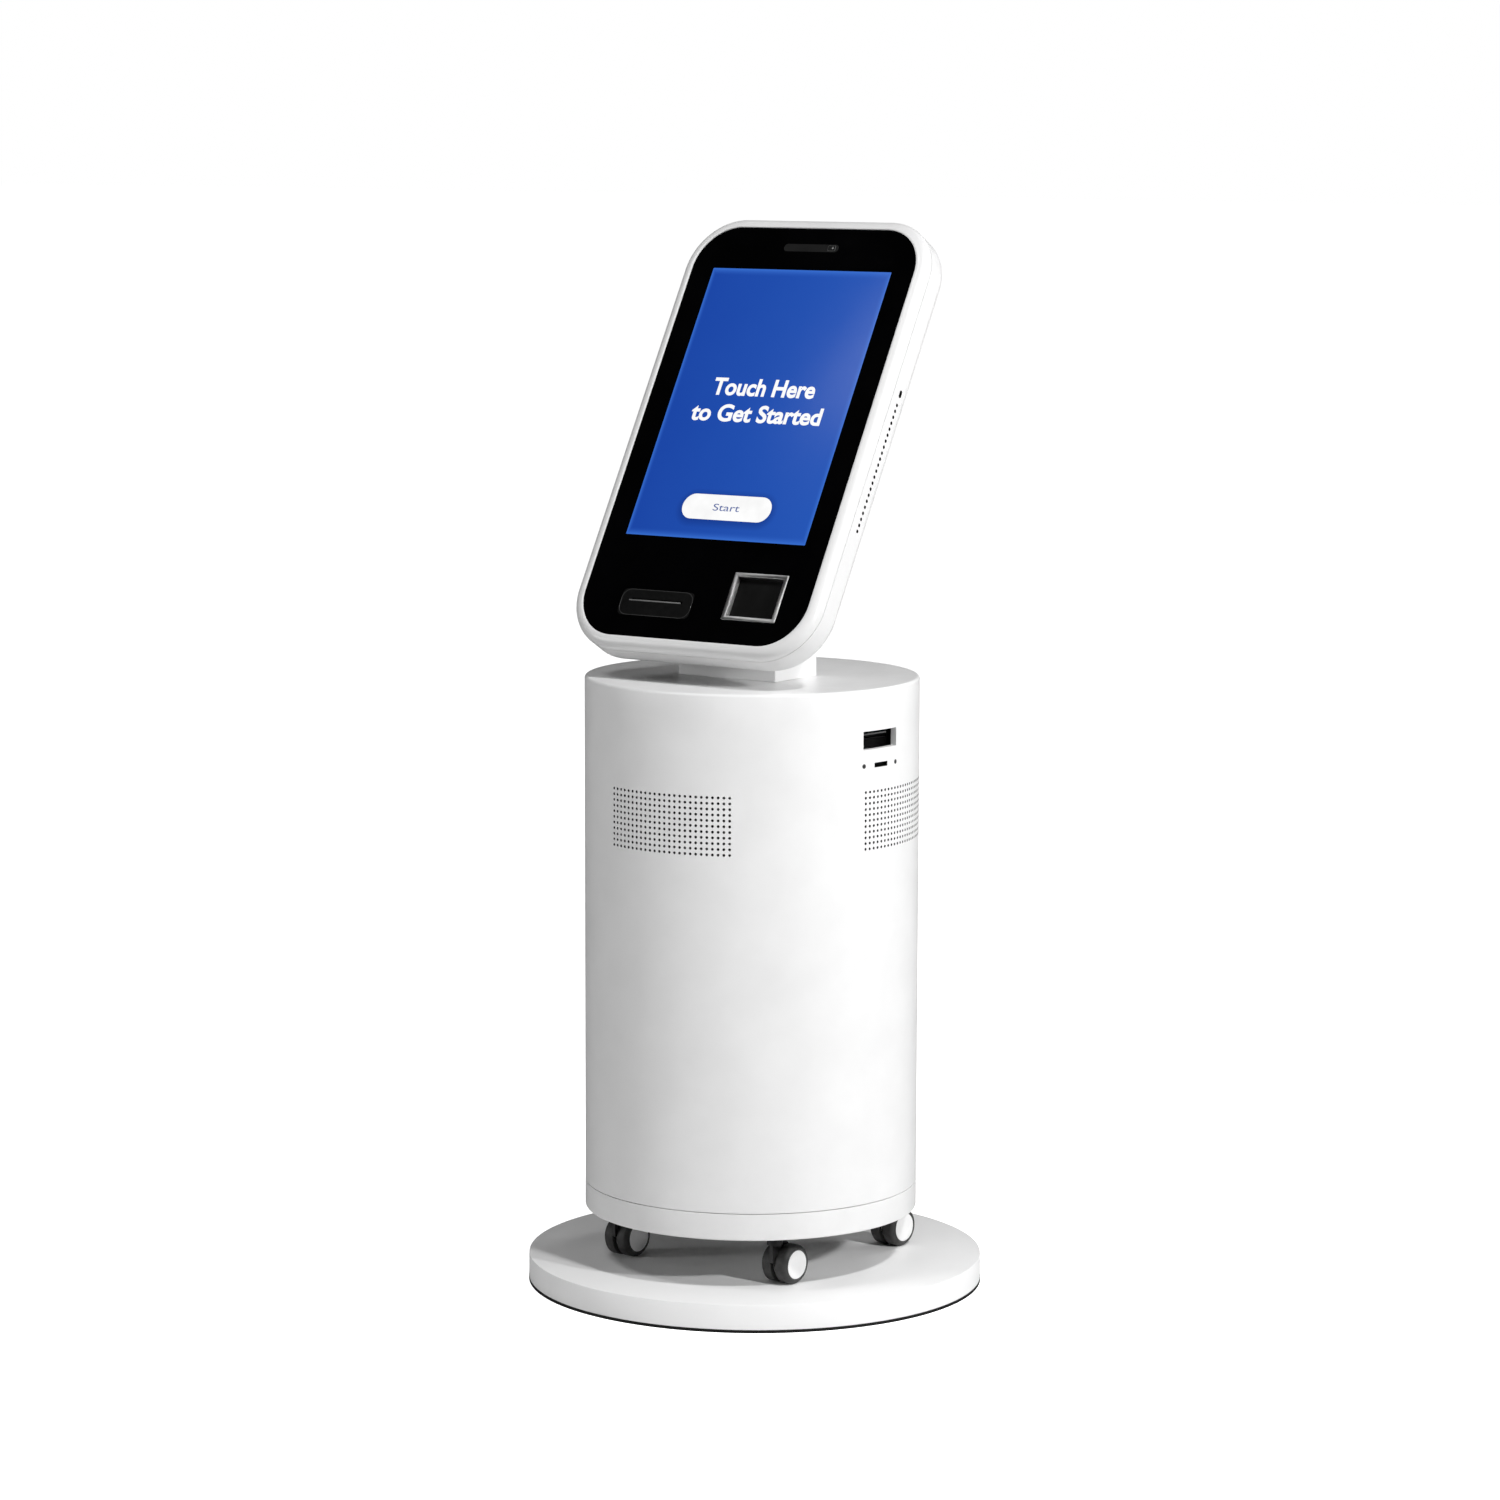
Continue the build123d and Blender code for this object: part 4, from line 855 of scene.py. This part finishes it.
def make_head_back():
    """Rear shell: deep tray with a rounded back edge and the row of speaker holes."""
    half_cell = side_hole_pitch / 2
    first_gap = side_hole_top + half_cell
    marks = [first_gap - k * side_hole_pitch for k in range(side_hole_count + 1)]
    oval_place, oval_length, oval_width = side_oval
    marks += [
        oval_place - oval_length / 2 - side_oval_margin,
        oval_place + oval_length / 2 + side_oval_margin,
    ]
    profile = [
        (0, -rim_back - reveal),
        (0, -side_hole_depth + half_cell),
        (0, -side_hole_depth - half_cell),
    ] + round_over(back_edge, 0, back_edge - head_depth, -1, 9)
    heights = [mark - head_middle for mark in marks]
    bm = frame_round(head_width, head_length, head_corner, profile, 18, heights, closed=False)
    small, oval = [], []
    for f in bm.faces:
        middle = f.calc_center_bounds()
        height = middle.y + head_middle
        in_row = f.normal.x > 0.999 and abs(middle.z + side_hole_depth) < 0.1 * MM
        if in_row and min(marks) < height < first_gap:
            small.append(f)
        elif in_row and abs(height - oval_place) < 1 * MM:
            oval.append(f)
    punch_holes(bm, small, side_hole_radius)
    punch_holes(bm, oval, oval_width / 2, Vector((0, (oval_length - oval_width) / 2, 0)))
    thicken(bm, head_wall)
    return bm


make_piece(
    "head_back",
    make_head_back(),
    white_head,
    "head",
    ("rear_shell",),
    head_middle_place,
    hole_wall_painted_shade=speaker_hole_painted_shade,
)

# ---------------------------------------------------------------- screen picture, words and button
picture_rise = 0.15 * MM
button_rise = 0.35 * MM
letter_height = 21 * MM
letter_boldness = 0.028
font_depth = 0.002
font_squeeze = 0.05
make_piece(
    "screen_picture",
    plate(picture_width, picture_height, 0.6 * MM, 0, picture_rise, 0.05 * MM, 2),
    lit_picture,
    "head",
    place=head_place,
)
make_piece(
    "start_button",
    plate(button_width, button_height, button_height / 2 - 0.1 * MM, 0, button_rise, 0.12 * MM, 12),
    button_white,
    "head",
    place=head_place @ Matrix.Translation((*button_place, picture_rise)),
)


def make_words(name, words, cap_height, width, middle, height, finish, boldness):
    """Line of lettering fitted to a width and a cap height, laid on the screen."""
    line = bpy.data.curves.new(name, "FONT")
    line.body = words
    line.offset = boldness
    line.extrude = font_depth
    line.resolution_u = 6
    source = bpy.data.objects.new(name, line)
    bpy.context.scene.collection.objects.link(source)
    bpy.context.view_layer.update()
    mesh = bpy.data.meshes.new_from_object(source.evaluated_get(bpy.context.evaluated_depsgraph_get()))
    bpy.data.objects.remove(source)
    bm = bmesh.new()
    bm.from_mesh(mesh)
    bpy.data.meshes.remove(mesh)
    bmesh.ops.remove_doubles(bm, verts=bm.verts, dist=1e-5)
    left, right = min(v.co.x for v in bm.verts), max(v.co.x for v in bm.verts)
    top = max(v.co.y for v in bm.verts)
    bmesh.ops.translate(bm, vec=(-(left + right) / 2, -top / 2, font_depth), verts=bm.verts)
    bmesh.ops.scale(bm, vec=(width / (right - left), cap_height / top, font_squeeze), verts=bm.verts)
    place = head_place @ Matrix.Translation((middle, height, picture_rise))
    return make_piece(name, bm, finish, "head", place=place)


for name, words, width, middle, height in (
    ("words_upper_line", "Touch Here", 140 * MM, 1.5 * MM, 20 * MM),
    ("words_lower_line", "to Get Started", 178 * MM, 2 * MM, -13 * MM),
):
    make_words(name, words, letter_height, width, middle, height, letter_white, letter_boldness)
button_word = make_words("button_word", "Start", 8.5 * MM, 36 * MM, *button_place, button_ink, 0.0)
button_word.data.transform(Matrix.Translation(out_of_glass * button_rise))

# ---------------------------------------------------------------- sensor, card mouth and scanner
lens_place = head_place @ Matrix.Translation((31.5 * MM, 199 * MM, 0))
lens_frame_profile = [
    (0, 0),
    (0, 0.2 * MM),
    (0.2 * MM, 0.3 * MM),
    (0.8 * MM, 0.3 * MM),
    (0.8 * MM, 0),
]
make_piece(
    "camera_lens_frame",
    frame_round(11 * MM, 7.4 * MM, 1.6 * MM, lens_frame_profile),
    outline_grey,
    "head",
    place=lens_place,
)
lens_profile = [
    (2.4 * MM, 0),
    (2.4 * MM, 0.12 * MM),
    (1.6 * MM, 0.3 * MM),
    (0.8 * MM, 0.38 * MM),
    (pin_hole, 0.4 * MM),
    (pin_hole, 0),
]
make_piece(
    "camera_lens", spin_round(lens_profile, 32), rocker_gloss, "head", place=lens_place
)

card_place = head_place @ Matrix.Translation((-50.5 * MM, -253 * MM, 0.4 * MM))
card_outline_profile = [
    (0, -0.3 * MM),
    (0.1 * MM, 0.1 * MM),
    (0.7 * MM, 0.1 * MM),
    (0.9 * MM, -0.1 * MM),
    (0.9 * MM, -0.3 * MM),
]
make_piece(
    "card_mouth_outline",
    frame_round(98 * MM, 32 * MM, 12 * MM, card_outline_profile, 8),
    outline_grey,
    "head",
    place=card_place,
)
make_piece(
    "card_slit_lip",
    plate(71 * MM, 1.5 * MM, 0.7 * MM, -1 * MM, 0.15 * MM, 0.1 * MM, 4),
    slit_lip,
    "head",
    place=card_place @ Matrix.Translation((-2.5 * MM, 2.4 * MM, 0)),
)

scanner_place = head_place @ Matrix.Translation((79 * MM, -237 * MM, 0))
scanner_depth = 8 * MM
scanner_border = 5 * MM
scanner_profile = (
    [(0, -scanner_depth)]
    + round_over(0.5 * MM, 0, 0.3 * MM, steps=3)
    + [(4.4 * MM, 0.8 * MM), (4.8 * MM, 0.6 * MM)]
    + [(scanner_border, 0.2 * MM), (scanner_border, -scanner_depth)]
)
make_piece(
    "scanner_bezel",
    frame_round(72 * MM, 58 * MM, 1.2 * MM, scanner_profile, 4),
    scanner_metal,
    "head",
    ("scanner_frame",),
    scanner_place,
)

# ---------------------------------------------------------------- tear bar in the receipt outlet
outlet_turn = outlet_angle + cabinet_front
outlet_direction = Vector((sin(outlet_turn), -cos(outlet_turn), 0))
tear_bar_depth = 16 * MM
tear_bar_height = outlet_height + 4.5 * MM
tear_bar_middle = outlet_direction * (body_radius - tear_bar_depth) + Vector((0, 0, tear_bar_height))
tear_bar_place = (
    Matrix.Translation(tear_bar_middle)
    @ Matrix.Rotation(outlet_turn, 4, "Z")
    @ Matrix.Rotation(radians(90), 4, "X")
)
make_piece(
    "receipt_tear_bar",
    plate(50 * MM, 1.6 * MM, 0.6 * MM, 0, 2.5 * MM, 0.4 * MM, 3),
    slit_lip,
    "cabinet",
    place=tear_bar_place,
)

# ---------------------------------------------------------------- wheels
caster_turn = radians(-4.5)
wheel_width = 14.5 * MM
tyre_profile = [
    (16.5 * MM, 0),
    (21.6 * MM, 0),
    (22.3 * MM, 0.4 * MM),
    (22.5 * MM, 1.2 * MM),
    (22.5 * MM, 10.9 * MM),
    (22.3 * MM, 11.6 * MM),
    (19.9 * MM, 14.1 * MM),
    (19.2 * MM, 14.5 * MM),
    (16.5 * MM, 14.5 * MM),
]
ring_profile = [
    (16.3 * MM, 14 * MM),
    (17.8 * MM, 14 * MM),
    (17.8 * MM, 14.75 * MM),
    (17.5 * MM, 15 * MM),
    (16.6 * MM, 15 * MM),
    (16.3 * MM, 14.75 * MM),
]
hub_profile = [
    (3.05 * MM, 0),
    (16.4 * MM, 0),
    (16.4 * MM, 14.2 * MM),
    (16 * MM, 14.9 * MM),
    (15.2 * MM, 15.2 * MM),
    (11 * MM, 15.3 * MM),
    (pin_hole, 15.3 * MM),
    (pin_hole, 13.3 * MM),
    (3.05 * MM, 13.3 * MM),
]
for corner in ("front_left", "front_right", "rear_left", "rear_right"):
    dress(f"{corner}_caster_housing", black_plastic)
    for wheel, side in (("inner", -1), ("outer", 1)):
        name = f"{corner}_{wheel}"
        tyre_low, tyre_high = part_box(f"{name}_tyre")
        axle = Vector((cos(caster_turn), sin(caster_turn), 0)) * side
        inner_face = (tyre_low + tyre_high) / 2 - axle * wheel_width / 2
        place = (
            Matrix.Translation(inner_face)
            @ Matrix.Rotation(caster_turn, 4, "Z")
            @ Matrix.Rotation(side * radians(90), 4, "Y")
        )
        body = f"{name}_wheel"
        make_piece(
            f"{name}_tread", spin_round(tyre_profile, 64), tyre_rubber, body, (f"{name}_tyre",), place
        )
        make_piece(
            f"{name}_cap", spin_round(hub_profile, 64), white_cap, body, (f"{name}_hub",), place
        )
        make_piece(f"{name}_cap_ring", spin_round(ring_profile, 64), cap_ring_grey, body, place=place)


# ---------------------------------------------------------------- stage
def set_stage(name, bm, finish, place=Matrix()):
    """Object that belongs to the stage."""
    bmesh.ops.transform(bm, matrix=place, verts=bm.verts)
    mesh = bpy.data.meshes.new(name)
    bm.to_mesh(mesh)
    bm.free()
    mesh.materials.append(finish)
    mesh.shade_smooth()
    mesh.set_sharp_from_angle(angle=radians(35))
    thing = bpy.data.objects.new(name, mesh)
    bpy.context.scene.collection.objects.link(thing)
    return thing


podium_finish = mottled("podium_white", grey(0.87), grey(0.89), (0.45, 0.55), blotch=120 * MM)
# The near-black disc under the podium, a little wider than it, is a painted contact shadow where the podium
# meets the floor.
shadow_band_finish = mottled("podium_shadow_band_black", grey(0.004), grey(0.006), (0.6, 0.7))
podium_profile = (
    [(pin_hole, -podium_thickness), (podium_radius, -podium_thickness)]
    + [(podium_radius, -0.8 * MM), (podium_radius - 0.25 * MM, -0.25 * MM), (podium_radius - 0.8 * MM, 0)]
    + [(pin_hole, 0)]
)
shadow_band_radius = podium_radius + 0.4 * MM
shadow_band_profile = [
    (pin_hole, floor_level),
    (shadow_band_radius, floor_level),
    (shadow_band_radius, -podium_thickness),
    (pin_hole, -podium_thickness),
]
podium_place = Matrix.Translation(podium_centre)
set_stage("podium", spin_round(podium_profile, 180), podium_finish, podium_place)
set_stage("podium_shadow_band", spin_round(shadow_band_profile, 180), shadow_band_finish, podium_place)



def make_pale_floor():
    """Evenly lit white of the floor, the same as the backdrop's."""
    finish, _, _, shader = start_finish("pale_floor", 0.9, specular=0.0)
    shader.inputs["Base Color"].default_value = grey(0.9)
    shader.inputs["Emission Color"].default_value = grey(1.0)
    shader.inputs["Emission Strength"].default_value = 1.0
    return finish


def lay_sheet(name, finish, level):
    """Level sheet of the stage, wide enough to reach past every view."""
    bm = bmesh.new()
    bmesh.ops.create_grid(bm, x_segments=1, y_segments=1, size=floor_reach)
    return set_stage(name, bm, finish, Matrix.Translation((0, 0, level)))


# The floor is seen and gives no light. The sheet just below it isn't seen and returns the lamps' light
floor = lay_sheet("floor", make_pale_floor(), floor_level)
floor.visible_diffuse = False
floor.visible_glossy = False
floor.visible_shadow = False
bounce_finish = mottled(
    "floor_bounce_white", grey(0.78), grey(0.82), (0.8, 0.9), blotch=400 * MM, grain=20 * MM
)
bounce = lay_sheet("floor_bounce", bounce_finish, floor_level - 1 * MM)
bounce.visible_camera = False
bounce.visible_glossy = False

# The camera sees a white backdrop, and the pieces get only a little light from it
ambient_strength = 0.015
world = bpy.data.worlds.new("studio")
world.use_nodes = True
bpy.context.scene.world = world
world_nodes, world_links = world.node_tree.nodes, world.node_tree.links
backdrop = world_nodes["Background"]
backdrop.inputs["Color"].default_value = grey(1.0)
backdrop.inputs["Strength"].default_value = 1.0
ambient = world_nodes.new("ShaderNodeBackground")
ambient.inputs["Color"].default_value = grey(1.0)
ambient.inputs["Strength"].default_value = ambient_strength
seen = world_nodes.new("ShaderNodeLightPath")
chooser = world_nodes.new("ShaderNodeMixShader")
world_links.new(seen.outputs["Is Camera Ray"], chooser.inputs["Fac"])
world_links.new(ambient.outputs["Background"], chooser.inputs[1])
world_links.new(backdrop.outputs["Background"], chooser.inputs[2])
world_links.new(chooser.outputs["Shader"], world_nodes["World Output"].inputs["Surface"])

kiosk_middle = Vector((0, 0, 0.6))
softbox_distance = 5


def add_softbox(name, turn, rise, size, power):
    """Square area light aimed at the kiosk, from an angle round it and a rise above level."""
    data = bpy.data.lights.new(name, "AREA")
    data.size = size
    data.energy = power
    light = bpy.data.objects.new(name, data)
    bpy.context.scene.collection.objects.link(light)
    direction = Vector((sin(turn) * cos(rise), -cos(turn) * cos(rise), sin(rise)))
    light.location = kiosk_middle + direction * softbox_distance
    light.rotation_euler = direction.to_track_quat("Z", "Y").to_euler()


# Turn and rise in degrees, side length in metres, power in watts
softboxes = {
    "key_softbox": (81, 22, 0.25, 142),
    "overhead_softbox": (70, 52, 0.35, 124),
    "high_left_softbox": (-30, 60, 1.0, 52),
    "left_softbox": (-45, 5, 1.0, 45),
    "side_softbox": (135, 10, 1.0, 28),
    "rear_softbox": (170, 32, 1.2, 40),
}
for name, (turn, rise, size, power) in softboxes.items():
    add_softbox(name, radians(turn), radians(rise), size, power)
